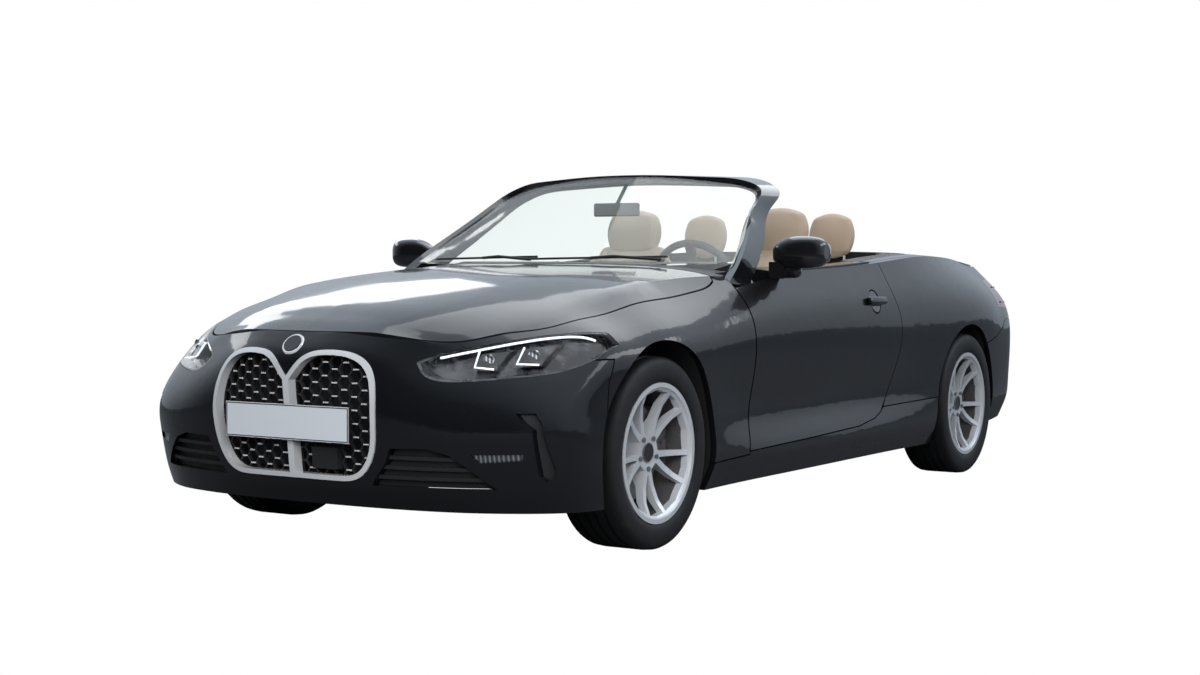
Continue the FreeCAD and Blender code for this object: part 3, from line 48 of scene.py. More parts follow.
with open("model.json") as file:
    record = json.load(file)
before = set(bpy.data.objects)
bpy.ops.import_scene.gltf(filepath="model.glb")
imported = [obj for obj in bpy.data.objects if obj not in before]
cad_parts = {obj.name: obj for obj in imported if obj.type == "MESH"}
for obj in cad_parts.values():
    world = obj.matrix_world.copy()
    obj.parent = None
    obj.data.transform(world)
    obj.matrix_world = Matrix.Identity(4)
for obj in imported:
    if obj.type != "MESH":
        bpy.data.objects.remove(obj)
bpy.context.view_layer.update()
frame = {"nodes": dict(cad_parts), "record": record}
NODES = frame["nodes"]
RECORD = frame["record"]
NODE_SLOT = {part["node"]: part["material_slot"] for part in RECORD["subparts"]}
NODE_BODY = {node: body for body, nodes in RECORD["behaviour"]["bodies"].items() for node in nodes}

X = Vector((1, 0, 0))
Y = Vector((0, 1, 0))
Z = Vector((0, 0, 1))
MERGE = 0.00002
CORNERS = ("front_left", "front_right", "rear_left", "rear_right")


# Shader maths
class Wire:
    """A shader socket whose sums become Math nodes."""

    def __init__(self, tree, socket):
        self.tree = tree
        self.socket = socket

    def maths(self, operation, *values):
        return self.tree.add("ShaderNodeMath", {"operation": operation}, dict(enumerate(values)))

    def __add__(self, other):
        return self.maths("ADD", self, other)

    def __mul__(self, other):
        return self.maths("MULTIPLY", self, other)

    def wave(self, length):
        """A triangle wave from 0 to 1 that repeats every given length."""
        return self.maths("PINGPONG", self * (2 / length), 1.0)

    def smooth(self, low, high):
        settings = {"interpolation_type": "SMOOTHSTEP"}
        return self.tree.add("ShaderNodeMapRange", settings, {0: self, 1: low, 2: high})


class Tree:
    """The shader nodes of a material or of the world."""

    def __init__(self, owner):
        owner.use_nodes = True
        self.nodes = owner.node_tree.nodes
        self.links = owner.node_tree.links
        self.nodes.clear()

    def add(self, kind, settings=None, sockets=None, output=0):
        node = self.nodes.new(kind)
        for key, value in (settings or {}).items():
            setattr(node, key, value)
        for key, value in (sockets or {}).items():
            if isinstance(value, Wire):
                self.links.new(value.socket, node.inputs[key])
            else:
                node.inputs[key].default_value = value
        return Wire(self, node.outputs[output])

    def seen(self):
        """1 for what the camera sees directly or through glass, and else 0."""
        kinds = ("Is Camera Ray", "Is Transmission Ray")
        rays = [self.add("ShaderNodeLightPath", output=kind) for kind in kinds]
        return rays[0].maths("MAXIMUM", *rays)


class Finish(Tree):
    """A material under construction: one Principled shader and the nodes that feed it."""

    def __init__(self, name, colour, **settings):
        self.material = bpy.data.materials.new(name)
        super().__init__(self.material)
        self.shader = self.nodes.new("ShaderNodeBsdfPrincipled")
        self.output = self.nodes.new("ShaderNodeOutputMaterial")
        self.links.new(self.shader.outputs[0], self.output.inputs[0])
        self.colour = (*colour, 1.0)
        self.shader.inputs["Base Color"].default_value = self.colour
        for words, value in settings.items():
            self.shader.inputs[words.replace("_", " ").title().replace("Ior", "IOR")].default_value = value

    def where(self):
        return self.add("ShaderNodeTexCoord", output="Object")

    def along(self, axis):
        """The place along the car's x, y or z, in metres."""
        return self.add("ShaderNodeSeparateXYZ", None, {0: self.where()}, output=axis)

    def noise(self, scale, detail=3.0):
        sockets = {"Vector": self.where(), "Scale": scale, "Detail": detail}
        return self.add("ShaderNodeTexNoise", None, sockets)

    def cells(self, scale, feature="F1", output="Distance"):
        sockets = {"Vector": self.where(), "Scale": scale}
        return self.add("ShaderNodeTexVoronoi", {"feature": feature}, sockets, output)

    def mix(self, first, second, share):
        sockets = {0: share, 6: first, 7: second}
        return self.add("ShaderNodeMix", {"data_type": "RGBA"}, sockets, output=2)

    def drive(self, socket, wire):
        self.links.new(wire.socket, self.shader.inputs[socket])

    def tint(self, other, share):
        """Varies the base colour towards another colour by a share from 0 to 1."""
        self.drive("Base Color", self.mix(self.colour, (*other, 1.0), share))

    def grain(self, scale, spread, least):
        """Varies the roughness from the least value upwards."""
        self.drive("Roughness", self.noise(scale) * spread + least)

    def relief(self, height, depth):
        """Raises the surface by a height of 0 to 1 times the depth in metres."""
        self.drive("Normal", self.add("ShaderNodeBump", None, {"Height": height, "Distance": depth}))


# Finishes
def body_paint(look):
    f = Finish("body_paint", look.paint, roughness=0.42, specular_ior_level=0.12, coat_weight=1.0,
               coat_roughness=look.paint_haze, coat_ior=1.5)
    flakes = f.cells(2600, output="Color")
    f.tint(look.flake, f.add("ShaderNodeSeparateXYZ", None, {0: flakes}) * 0.12)
    f.grain(6, 0.1, 0.36)
    return f


def bright_metal(look):
    f = Finish("bright_trim", (0.84, 0.86, 0.88), metallic=0.45, roughness=0.08)
    f.grain(30, 0.06, 0.05)
    return f


def wheel_silver(look):
    f = Finish("wheel_silver", look.wheel, metallic=0.35, roughness=0.32, coat_weight=0.4, coat_roughness=0.1)
    f.tint((0.42, 0.44, 0.47), f.cells(1800) * 0.5)
    f.grain(40, 0.12, 0.26)
    return f


def brake_steel(look):
    f = Finish("brake_steel", (0.30, 0.30, 0.31), metallic=0.9, roughness=0.38)
    f.grain(180, 0.25, 0.28)
    f.relief(f.noise(260), 0.0004)
    return f


def cast_iron(look):
    f = Finish("cast_iron", (0.16, 0.16, 0.165), metallic=0.6, roughness=0.62)
    f.tint((0.24, 0.20, 0.17), f.noise(60).smooth(0.5, 0.75))
    f.relief(f.noise(420), 0.0006)
    return f


def chassis_coat(look):
    f = Finish("chassis_coat", (0.035, 0.036, 0.038), roughness=0.62)
    f.tint((0.06, 0.058, 0.055), f.noise(14).smooth(0.45, 0.7))
    f.relief(f.noise(350), 0.0005)
    return f


def dark_plastic(look):
    f = Finish("dark_plastic", (0.018, 0.018, 0.02), roughness=0.52)
    f.grain(90, 0.12, 0.44)
    f.relief(f.cells(900), 0.00015)
    return f


def piano_black(look):
    f = Finish("gloss_black", (0.008, 0.008, 0.010), roughness=0.12, coat_weight=1.0, coat_roughness=0.03)
    f.grain(45, 0.05, 0.08)
    return f


def seal_rubber(look):
    f = Finish("seal_rubber", (0.012, 0.012, 0.013), roughness=0.6)
    f.grain(70, 0.15, 0.5)
    return f


def tread_rubber(look):
    f = Finish("tyre_rubber", (0.006, 0.0065, 0.007), roughness=0.58)
    f.tint((0.012, 0.012, 0.012), f.noise(22).smooth(0.5, 0.8))
    f.relief(f.noise(500), 0.0003)
    return f


def seat_leather(look):
    f = Finish("seat_leather", look.leather, roughness=0.5, sheen_weight=0.08)
    f.tint((0.46, 0.36, 0.27), f.noise(9).smooth(0.42, 0.75) * 0.5)
    f.grain(130, 0.16, 0.42)
    f.relief(f.cells(520, "DISTANCE_TO_EDGE").smooth(0.0, 0.12), 0.00035)
    return f


def dark_leather(look):
    f = Finish("dark_leather", (0.022, 0.022, 0.024), roughness=0.5)
    f.grain(120, 0.15, 0.4)
    f.relief(f.cells(700, "DISTANCE_TO_EDGE").smooth(0.0, 0.12), 0.0003)
    return f


def cabin_carpet(look):
    f = Finish("cabin_carpet", (0.028, 0.028, 0.03), roughness=0.95, sheen_weight=0.2)
    f.relief(f.noise(1300, 4.0), 0.0012)
    return f


def hood_cloth(look):
    f = Finish("hood_cloth", (0.014, 0.014, 0.016), roughness=0.9, sheen_weight=0.25)
    weave = f.along("X").wave(0.0022) * f.along("Y").wave(0.0022)
    f.relief(weave, 0.0005)
    return f


def tinted_glass(look):
    f = Finish("tinted_glass", look.glass, roughness=0.0, transmission_weight=1.0, ior=1.02, coat_weight=0.6)
    f.drive("Roughness", f.noise(3) * 0.004)
    return f


def lamp_cover(look):
    return Finish("lamp_cover", (0.93, 0.95, 0.97), roughness=0.02, transmission_weight=1.0, ior=1.05)


def lamp_body(look):
    f = Finish("lamp_body", (0.014, 0.015, 0.017), roughness=0.22, coat_weight=0.8, coat_roughness=0.05)
    f.tint((0.05, 0.053, 0.058), f.noise(14).smooth(0.4, 0.7))
    return f


def lamp_light(look):
    return Finish("lamp_light", (0.9, 0.93, 0.97), roughness=0.2, emission_strength=look.lamp_glow,
                  emission_color=(0.93, 0.96, 1.0, 1.0))


def red_glass(look):
    f = Finish("red_glass", (0.30, 0.008, 0.010), roughness=0.1, coat_weight=1.0, coat_roughness=0.03)
    f.tint((0.12, 0.004, 0.006), f.along("Z").wave(0.009).smooth(0.3, 0.7))
    return f


def plate_metal(look):
    f = Finish("plate_metal", look.plate, roughness=0.36)
    f.grain(60, 0.1, 0.3)
    return f


def lamp_reflector(look):
    f = Finish("lamp_reflector", (0.62, 0.65, 0.68), metallic=0.9, roughness=0.2)
    f.tint((0.16, 0.17, 0.18), f.along("X").wave(0.012).smooth(0.2, 0.6))
    return f


def screen_glass(look):
    f = Finish("screen_glass", (0.006, 0.007, 0.010), roughness=0.08, coat_weight=1.0, coat_roughness=0.02)
    f.grain(12, 0.04, 0.05)
    return f


def mirror_glass(look):
    return Finish("mirror_glass", (0.85, 0.87, 0.88), metallic=1.0, roughness=0.01)


FINISHES = {
    "paint": body_paint, "bright": bright_metal, "alloy": wheel_silver, "brake": brake_steel,
    "iron": cast_iron, "steel": chassis_coat, "dark_plastic": dark_plastic, "gloss_black": piano_black,
    "seal": seal_rubber, "tyre": tread_rubber, "leather": seat_leather, "dark_leather": dark_leather,
    "carpet": cabin_carpet, "cloth": hood_cloth, "glass": tinted_glass, "lamp_cover": lamp_cover,
    "lamp": lamp_body, "lamp_light": lamp_light, "reflector": lamp_reflector, "red_lamp": red_glass,
    "plate": plate_metal, "mirror": mirror_glass, "screen": screen_glass,
}
MADE = {}


def finish(name):
    """The material of that name, made once."""
    if name not in MADE:
        MADE[name] = FINISHES[name](bpy.context.scene.open_car_look).material
    return MADE[name]


# Pieces
def within(value, limits):
    return limits[0] < value < limits[1]


def keep(bm, name, material, body, slot, replaces=(), sharp=30):
    """Turns a bmesh into a finished piece that rides on a body. Several materials go by face index."""
    bmesh.ops.remove_doubles(bm, verts=bm.verts, dist=MERGE)
    limit = math.radians(sharp)
    for face in bm.faces:
        face.smooth = True
    for edge in bm.edges:
        edge.smooth = len(edge.link_faces) == 2 and edge.calc_face_angle(0) < limit
    mesh = bpy.data.meshes.new(name)
    bm.to_mesh(mesh)
    bm.free()
    for one in [material] if isinstance(material, str) else material:
        mesh.materials.append(finish(one))
    piece = bpy.data.objects.new(name, mesh)
    bpy.context.scene.collection.objects.link(piece)
    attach(piece, body)
    if replaces:
        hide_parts(*replaces)
    return piece


def modify(piece, kind, **settings):
    modifier = piece.modifiers.new(kind.lower(), kind)
    for key, value in settings.items():
        setattr(modifier, key, value)


def solid_of(node):
    """A bmesh of a CAD node with its faces joined at their edges."""
    bm = bmesh.new()
    bm.from_mesh(NODES[node].data)
    bmesh.ops.remove_doubles(bm, verts=bm.verts, dist=MERGE)
    return bm


# The lowest and highest point of the leather on the doors
PADDING_EDGES = (0.56, 0.84)


def smooth_node(node, material, zones):
    """Copies a CAD node smoothly shaded. A zone is a material and a test of a face's middle and normal."""
    bm = solid_of(node)
    for height in PADDING_EDGES if node.startswith("door") else ():
        everything = bm.verts[:] + bm.edges[:] + bm.faces[:]
        bmesh.ops.bisect_plane(bm, geom=everything, dist=1e-5, plane_co=(0, 0, height), plane_no=(0, 0, 1))
    for face in bm.faces:
        middle = face.calc_center_median()
        for index, (_, test) in enumerate(zones, 1):
            if test(middle, face.normal):
                face.material_index = index
    materials = [material] + [name for name, _ in zones]
    piece = keep(bm, node + "_finish", materials, NODE_BODY[node], NODE_SLOT[node], (node,))
    modify(piece, "WEIGHTED_NORMAL", keep_sharp=True)


def islands(bm):
    """The groups of faces of a bmesh that are joined to each other."""
    left = set(bm.faces)
    while left:
        group = [left.pop()]
        for face in group:
            for edge in face.edges:
                for near in edge.link_faces:
                    if near in left:
                        left.discard(near)
                        group.append(near)
        yield group


def volume(group):
    """The volume that a closed group of faces holds."""
    total = 0.0
    for face in group:
        first = face.verts[0].co
        for a, b in zip(face.verts[1:-1], face.verts[2:]):
            total += first.dot(a.co.cross(b.co)) / 6
    return abs(total)


def spot(x, behind, z):
    """A place from the car's middle, behind the front axle and above the ground, in metres."""
    return Vector((x, FRONT_AXLE_Y + behind, z))


class Surface:
    """The faces of some nodes, for laying trim on."""

    def __init__(self, *nodes):
        bm = bmesh.new()
        for node in nodes:
            bm.from_mesh(NODES[node].data)
        self.tree = BVHTree.FromBMesh(bm)
        bm.free()

    def hit(self, start, way, lift=0.0):
        """The point that a ray meets, lifted off the surface, and the surface's outward direction."""
        place, normal, _, _ = self.tree.ray_cast(start, way.normalized())
        if place is None:
            return None, None
        if normal.dot(way) > 0:
            normal = -normal
        return place + normal * lift, normal

    def line(self, starts, way, lift=0.0):
        """The points met by rays from a row of starts."""
        hits = [self.hit(start, way, lift)[0] for start in starts]
        return [place for place in hits if place is not None]


def row_of(a, b, count):
    """Evenly spaced points from one place to another."""
    return [a.lerp(b, k / (count - 1)) for k in range(count)]


def circle_of(middle, across, up, count):
    """Points round a circle given by its two radius vectors."""
    turns = [math.tau * k / count for k in range(count)]
    return [middle + across * math.cos(turn) + up * math.sin(turn) for turn in turns]


def frame_of(middle, across, up):
    """The four corners of a rectangle given by the halves of its sides."""
    return [middle - across - up, middle + across - up, middle + across + up, middle - across + up]


def tube(bm, points, radius, closed=False, smooth=False):
    """Adds a round rod along a row of points to a bmesh, swept by a curve."""
    curve = bpy.data.curves.new("line", "CURVE")
    curve.dimensions = "3D"
    curve.bevel_depth = radius
    curve.bevel_resolution = 3
    curve.use_fill_caps = True
    spline = curve.splines.new("NURBS" if smooth else "POLY")
    spline.points.add(len(points) - 1)
    for end, point in zip(spline.points, points):
        end.co = (*point, 1)
    spline.use_cyclic_u = closed
    if smooth:
        spline.order_u = 4
        spline.use_endpoint_u = not closed
    holder = bpy.data.objects.new("line", curve)
    swept = bpy.data.meshes.new_from_object(holder)
    bm.from_mesh(swept)
    bpy.data.objects.remove(holder)
    bpy.data.meshes.remove(swept)
    bpy.data.curves.remove(curve)


def box(bm, size, middle, turn=None, round_by=0.0, segments=2):
    """Adds a block with rounded edges to a bmesh."""
    one = bmesh.new()
    bmesh.ops.create_cube(one, size=1)
    bmesh.ops.scale(one, vec=size, verts=one.verts)
    if round_by:
        bmesh.ops.bevel(one, geom=one.edges[:], offset=round_by, segments=segments, affect="EDGES",
                        profile=0.5, material=-1)
    bmesh.ops.transform(one, matrix=turned(middle, turn), verts=one.verts)
    merge_in(bm, one)


def merge_in(bm, other):
    """Moves all of another bmesh into the first."""
    mesh = bpy.data.meshes.new("part")
    other.to_mesh(mesh)
    other.free()
    bm.from_mesh(mesh)
    bpy.data.meshes.remove(mesh)


def facing(normal):
    """A turn that takes z to the normal and keeps x level."""
    side = Z.cross(normal).normalized()
    return Matrix((side, normal.cross(side), normal)).transposed()


def turned(middle, turn):
    """The matrix that turns, if it has to, and then moves a shape from the origin to its middle."""
    return Matrix.Translation(middle) @ (turn or Matrix.Identity(3)).to_4x4()


def rod(bm, radii, depth, middle, turn=None, segments=20):
    """Adds a round bar along z, with the radii of its lower and upper end, to a bmesh."""
    made = bmesh.ops.create_cone(bm, cap_ends=True, segments=segments, radius1=radii[0], radius2=radii[1],
                                 depth=depth)
    bmesh.ops.transform(bm, matrix=turned(middle, turn), verts=made["verts"])


def disc(bm, radius, depth, middle, normal, segments=40):
    """Adds a round plate whose axis runs along a normal to a bmesh."""
    rod(bm, (radius, radius * 0.94), depth, middle, facing(normal), segments)


def keep_shape(shape, values, *kept):
    """Makes a piece of a single shape, such as a box."""
    bm = bmesh.new()
    shape(bm, *values)
    keep(bm, *kept)


def only(kind, items):
    return [item for item in items if isinstance(item, kind)]


def both_sides(bm):
    """Adds the mirror image across the car's middle, and returns the bmesh."""
    twin = bmesh.ops.duplicate(bm, geom=bm.verts[:] + bm.edges[:] + bm.faces[:])["geom"]
    bmesh.ops.scale(bm, vec=(-1, 1, 1), verts=only(bmesh.types.BMVert, twin))
    bmesh.ops.reverse_faces(bm, faces=only(bmesh.types.BMFace, twin))
    return bm


def centre_of(node):
    low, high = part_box(node)
    return (low + high) / 2


DOORS = ((1, "door_left"), (-1, "door_right"))
MIRRORS = ((1, "mirror_left"), (-1, "mirror_right"))
FRONT_AXLE_Y = centre_of("tyre_front_left").y
REAR_AXLE_Y = centre_of("tyre_rear_left").y
AXLE_Z = centre_of("tyre_front_left").z


def colour(name, description, default):
    return bpy.props.FloatVectorProperty(name=name, description=description, subtype="COLOR", default=default)


class OPENCAR_Look(bpy.types.PropertyGroup):
    """Colours and small sizes that a user would change."""

    paint: colour("Paint", "Base colour of the body paint", (0.0035, 0.004, 0.005))
    flake: colour("Flake", "Colour of the metallic flake", (0.016, 0.018, 0.021))
    paint_haze: bpy.props.FloatProperty(
        name="Paint haze", description="Roughness of the clear coat", default=0.07, min=0, max=1)
    wheel: colour("Wheel silver", "Colour of the wheels", (0.70, 0.72, 0.75))
    leather: colour("Leather", "Colour of the seat leather", (0.55, 0.43, 0.32))
    glass: colour("Glass", "Tint of the windscreen", (0.88, 0.94, 0.92))
    plate: colour("Plate", "Colour of the blank plate", (0.60, 0.64, 0.68))
    lamp_glow: bpy.props.FloatProperty(
        name="Lamp glow", description="Strength of the lit strips", default=0.35, min=0)


class OPENCAR_Seat(bpy.types.PropertyGroup):
    """Sizes of the padded seats."""

    crown: bpy.props.FloatProperty(
        name="Crown", description="How far a pad swells at its middle", default=0.016, subtype="DISTANCE")
    levels: bpy.props.IntProperty(
        name="Smoothness", description="Subdivision levels of a pad", default=2, min=1, max=3)


# The stage
CAMERA_AT = Vector((3.951, -6.768, 0.946))
CAMERA_AZIMUTH = math.radians(32.10)
CAMERA_ELEVATION = math.radians(2.11)
CAMERA_ROLL = math.radians(0.26)
CAMERA_FOCAL = 53.955
WORLD_STRENGTH = 0.75
SKY_BLUE = (0.74, 0.84, 0.96, 1)
LAMPS = (
    # name, place, size and power
    ("lamp_over", (0.0, 1.6, 4.6), (4.0, 6.0), 95),
    ("lamp_left", (5.6, 2.6, 3.4), (7.0, 1.2), 55),
    ("lamp_right", (-5.6, 1.5, 3.4), (7.0, 1.2), 60),
    ("lamp_fill", (3.6, -6.4, 3.0), (5.0, 3.0), 420),
)
LAMP_AIM = Vector((0, 0, 0.5))
FLOOR_SIZE = 60


class OPENCAR_OT_stage(bpy.types.Operator):
    """Sets the camera, the pale floor and the plain studio light"""

    bl_idname = "open_car.stage"
    bl_label = "Stage"

    def execute(self, context):
        scene = context.scene
        scene.view_settings.view_transform = "Standard"
        self.set_camera(scene)
        self.lay_floor()
        self.hang_lamps(scene)
        self.light_world(scene)
        return {"FINISHED"}

    def set_camera(self, scene):
        lens = bpy.data.cameras.new("camera")
        lens.lens = CAMERA_FOCAL
        lens.sensor_width = 36
        lens.sensor_fit = "HORIZONTAL"
        lens.clip_end = 200
        back = Vector((math.sin(CAMERA_AZIMUTH) * math.cos(CAMERA_ELEVATION),
                       -math.cos(CAMERA_AZIMUTH) * math.cos(CAMERA_ELEVATION), math.sin(CAMERA_ELEVATION)))
        level = Vector((math.cos(CAMERA_AZIMUTH), math.sin(CAMERA_AZIMUTH), 0))
        right = Matrix.Rotation(CAMERA_ROLL, 3, back) @ level
        turn = Matrix((right, back.cross(right), back)).transposed()
        camera = bpy.data.objects.new("camera", lens)
        camera.matrix_world = Matrix.Translation(CAMERA_AT) @ turn.to_4x4()
        scene.collection.objects.link(camera)
        scene.camera = camera

    def lay_floor(self):
        bm = bmesh.new()
        bmesh.ops.create_grid(bm, x_segments=1, y_segments=1, size=FLOOR_SIZE)
        mesh = bpy.data.meshes.new("floor")
        bm.to_mesh(mesh)
        bm.free()
        f = Finish("floor_white", (0.09, 0.093, 0.10), roughness=0.9)
        glow = f.add("ShaderNodeEmission", None, {"Color": (1, 1, 1, 1), "Strength": 1.0})
        blend = f.add("ShaderNodeMixShader", None, {0: f.seen(), 1: Wire(f, f.shader.outputs[0]), 2: glow})
        f.links.new(blend.socket, f.output.inputs[0])
        mesh.materials.append(f.material)
        floor = bpy.data.objects.new("floor", mesh)
        bpy.context.scene.collection.objects.link(floor)

    def hang_lamps(self, scene):
        for name, place, size, power in LAMPS:
            light = bpy.data.lights.new(name, "AREA")
            light.shape = "RECTANGLE"
            light.size, light.size_y = size
            light.energy = power
            lamp = bpy.data.objects.new(name, light)
            aim = LAMP_AIM - Vector(place)
            lamp.matrix_world = Matrix.Translation(place) @ aim.to_track_quat("-Z", "Y").to_matrix().to_4x4()
            lamp.visible_glossy = name != "lamp_fill"
            scene.collection.objects.link(lamp)

    def light_world(self, scene):
        """White to the camera, and to the rest a pale sky that is dark ahead of the car."""
        world = bpy.data.worlds.new("studio")
        scene.world = world
        tree = Tree(world)
        normal = tree.add("ShaderNodeNewGeometry", output="Normal")
        ahead, up = [tree.add("ShaderNodeSeparateXYZ", None, {0: normal}, axis) for axis in "YZ"]
        front = tree.add("ShaderNodeMapRange", None, {0: ahead, 1: -0.2, 2: 0.7, 3: 1.0, 4: 0.03})
        high = tree.add("ShaderNodeMapRange", None, {0: up, 1: 0.1, 2: -0.8, 3: 0.5, 4: 1.5})
        soft = tree.add("ShaderNodeBackground", None, {0: SKY_BLUE, 1: front * high * WORLD_STRENGTH})
        white = tree.add("ShaderNodeBackground", None, {0: (1, 1, 1, 1), 1: 1.0})
        blend = tree.add("ShaderNodeMixShader", None, {0: tree.seen(), 1: soft, 2: white})
        tree.links.new(blend.socket, tree.nodes.new("ShaderNodeOutputWorld").inputs[0])


# Painted panels and plain nodes
DISC_RADII = (0.075, 0.167)
DISC_DEPTH = 0.014
DISC_REACH = 0.016
BARREL_RADII = (0.10, 0.225)
BARREL_REACH = 0.045
UNDERSIDE_TOP = 0.26
LINING_X = 0.86
FOG_X = (0.63, 0.80)
FOG_Z = (0.335, 0.38)
PIPE_END_Y = 2.12
SKIRT_TOP = 0.335
# How far the middle of a brake disc lies from the car's middle, in front (True) and behind (False)
DISC_PLANES = {front: centre_of(tyre).x - DISC_DEPTH
               for front, tyre in ((True, "tyre_front_left"), (False, "tyre_rear_left"))}


def from_axle(middle):
    """The way from the nearer axle to a place, seen from the side."""
    return Vector((0, middle.y - (FRONT_AXLE_Y if middle.y < 0 else REAR_AXLE_Y), middle.z - AXLE_Z))


def under_car(middle, normal):
    return normal.z < -0.4 and middle.z < UNDERSIDE_TOP


def inner_door(middle, normal):
    side = math.copysign(1, middle.x)
    return normal.x * side < -0.5 and abs(middle.x) < LINING_X


def door_padding(middle, normal):
    return inner_door(middle, normal) and within(middle.z, PADDING_EDGES)


def inner_frame(middle, normal):
    return normal.z < -0.25 or (normal.y > 0.3 and normal.x * middle.x < 0)


def disc_face(middle, normal):
    apart = abs(abs(middle.x) - DISC_PLANES[middle.y < 0])
    return within(from_axle(middle).length, DISC_RADII) and apart < DISC_REACH


def shaded_barrel(middle, normal):
    """The inside of a wheel's rim, behind its spokes, whose dark iron finish is painted shade."""
    out = from_axle(middle)
    inward = normal.dot(out) < -0.5 * out.length and within(out.length, BARREL_RADII)
    return inward and abs(middle.x) < DISC_PLANES[middle.y < 0] + BARREL_REACH


def fog_face(middle, normal):
    return within(abs(middle.x), FOG_X) and within(middle.z, FOG_Z) and normal.y < -0.2


def plate_edge(middle, normal):
    return normal.y > -0.9


def pipe_end(middle, normal):
    return middle.y > PIPE_END_Y


def lower_rear(middle, normal):
    return middle.z < SKIRT_TOP


# The dark iron finish on the inside of each rim's barrel is painted shade; the brake disc's face is real
# steel
RIM = ("alloy", ("iron", shaded_barrel), ("brake", disc_face))
DOOR = ("paint", ("dark_leather", inner_door), ("leather", door_padding))
PAINTED = ("front_bumper", "bonnet", "front_wings", "side_sills", "rear_quarters", "stow_lid", "boot_lid")
# For each node its material, and the materials of the zones of it that differ
NODE_FINISHES = {
    **dict.fromkeys(PAINTED, ("paint",)),
    "rear_bumper": ("paint", ("dark_plastic", lower_rear)), "door_left": DOOR, "door_right": DOOR,
    "windscreen_frame": ("gloss_black", ("dark_plastic", inner_frame)),
    "grille_surround": ("bright",), "grille_mesh": ("dark_plastic",),
    "intake_slats": ("dark_plastic", ("reflector", fog_face)), "tail_lamps": ("red_lamp",),
    "cowl": ("dark_plastic",), "windscreen": ("glass",), "boot_tub": ("carpet", ("steel", under_car)),
    "underbody": ("carpet", ("steel", under_car)), "wheel_liners": ("dark_plastic",),
    "front_subframe": ("steel",), "knuckle_left": ("iron",), "knuckle_right": ("iron",),
    "rear_axle": ("steel",), "dashboard": ("dark_leather",), "centre_console": ("dark_plastic",),
    "rear_cover": ("cloth",), "engine_block": ("iron",), "exhaust": ("steel", ("bright", pipe_end)),
    "front_plate": ("plate", ("dark_plastic", plate_edge)), "mirror_left": ("gloss_black",),
    "mirror_right": ("gloss_black",), **{"rim_" + corner: RIM for corner in CORNERS},
    "steering_wheel": ("dark_leather",),
}


class OPENCAR_OT_panels(bpy.types.Operator):
    """Gives every rigid panel, lamp and casting its own smooth finish"""

    bl_idname = "open_car.panels"
    bl_label = "Panels"

    def execute(self, context):
        for node, (material, *zones) in NODE_FINISHES.items():
            smooth_node(node, material, zones)
        return {"FINISHED"}


# Lamps
COVER_THICKNESS = 0.0025
LENS_PLACES = ((0.634, 0.662), (0.738, 0.676))
LENS_RADIUS = 0.019
LENS_DEPTH = 0.008
LENS_FACING = Vector((0.25, -1, 0)).normalized()
LINE_RADIUS = 0.0035
UPPER_LINE_RADIUS = 0.004
BAND_HEIGHTS = (0.79, 0.865)
BAND_RADIUS = 0.004
BEHIND_COVER = Vector((-0.004, 0.011, 0))
LIGHT_UNITS = (
    # corners (x, z) of each lit line, from its inner end
    ((0.598, 0.688), (0.606, 0.640), (0.660, 0.634)),
    ((0.702, 0.700), (0.710, 0.650), (0.764, 0.648)),
)
UPPER_LINE = ((0.500, 0.668), (0.600, 0.695), (0.700, 0.722), (0.770, 0.734), (0.820, 0.734), (0.852, 0.720))


class OPENCAR_OT_lamps(bpy.types.Operator):
    """Builds the lamps with their lit lines under clear covers, and the red bands of the tail"""

    bl_idname = "open_car.lamps"
    bl_label = "Lamps"

    def execute(self, context):
        self.headlamps()
        self.lit_lines()
        self.tail_bands()
        return {"FINISHED"}

    def headlamps(self):
        bm = solid_of("headlamps")
        for group in islands(bm):
            thick = volume(group) / sum(face.calc_area() for face in group)
            for face in group:
                face.material_index = 1 if thick < COVER_THICKNESS else 0
        keep(bm, "headlamps_finish", ["lamp", "lamp_cover"], "body", NODE_SLOT["headlamps"], ("headlamps",))

    def lit_lines(self):
        skin = Surface("headlamps")
        bm = bmesh.new()
        for line in LIGHT_UNITS:
            tube(bm, [self.inside(skin, x, z) for x, z in line], LINE_RADIUS)
        tube(bm, [self.inside(skin, x, z) for x, z in UPPER_LINE], UPPER_LINE_RADIUS, smooth=True)
        keep(both_sides(bm), "headlamp_lines", "lamp_light", "body", "lamp")
        lenses = bmesh.new()
        for x, z in LENS_PLACES:
            disc(lenses, LENS_RADIUS, LENS_DEPTH, self.inside(skin, x, z), LENS_FACING)
        keep(both_sides(lenses), "headlamp_lenses", "reflector", "body", "lamp")

    def inside(self, skin, x, z):
        """A place just behind the lamp's cover."""
        place, _ = skin.hit(Vector((x, -3, z)), Y)
        return place + BEHIND_COVER

    def tail_bands(self):
        skin = Surface("tail_lamps")
        bm = bmesh.new()
        for height in BAND_HEIGHTS:
            starts = row_of(Vector((0.56, 3, height)), Vector((0.88, 3, height + 0.012)), 14)
            tube(bm, skin.line(starts, -Y, 0.001), BAND_RADIUS)
        keep(both_sides(bm), "tail_bands", "red_lamp", "body", "red_lamp")


# Front
HEX_SIDE = 0.025
HEX_RISE = HEX_SIDE * math.cos(math.pi / 6)
MESH_COLUMNS = 10
MESH_Z = (0.26, 0.69)
SENSOR_X = (0.078, 0.19)
SENSOR_Z = (0.30, 0.38)
BAR_SIZE = (0.021, 0.005, 0.004)
BAR_REACH = 0.012
BADGE_Z = 0.705
BADGE_DISCS = (
    # name, radius, thickness, height above the bumper and material
    ("badge_disc", 0.041, 0.006, 0.001, "bright"),
    ("badge_face", 0.034, 0.003, 0.005, "gloss_black"),
)
PLATE_EDGE = 0.004
# Middle of the towing eye's cover, ahead of the car, and the halves of its sides
TOW_COVER = (Vector((-0.565, -3, 0.4425)), X * 0.035, Z * 0.0325)


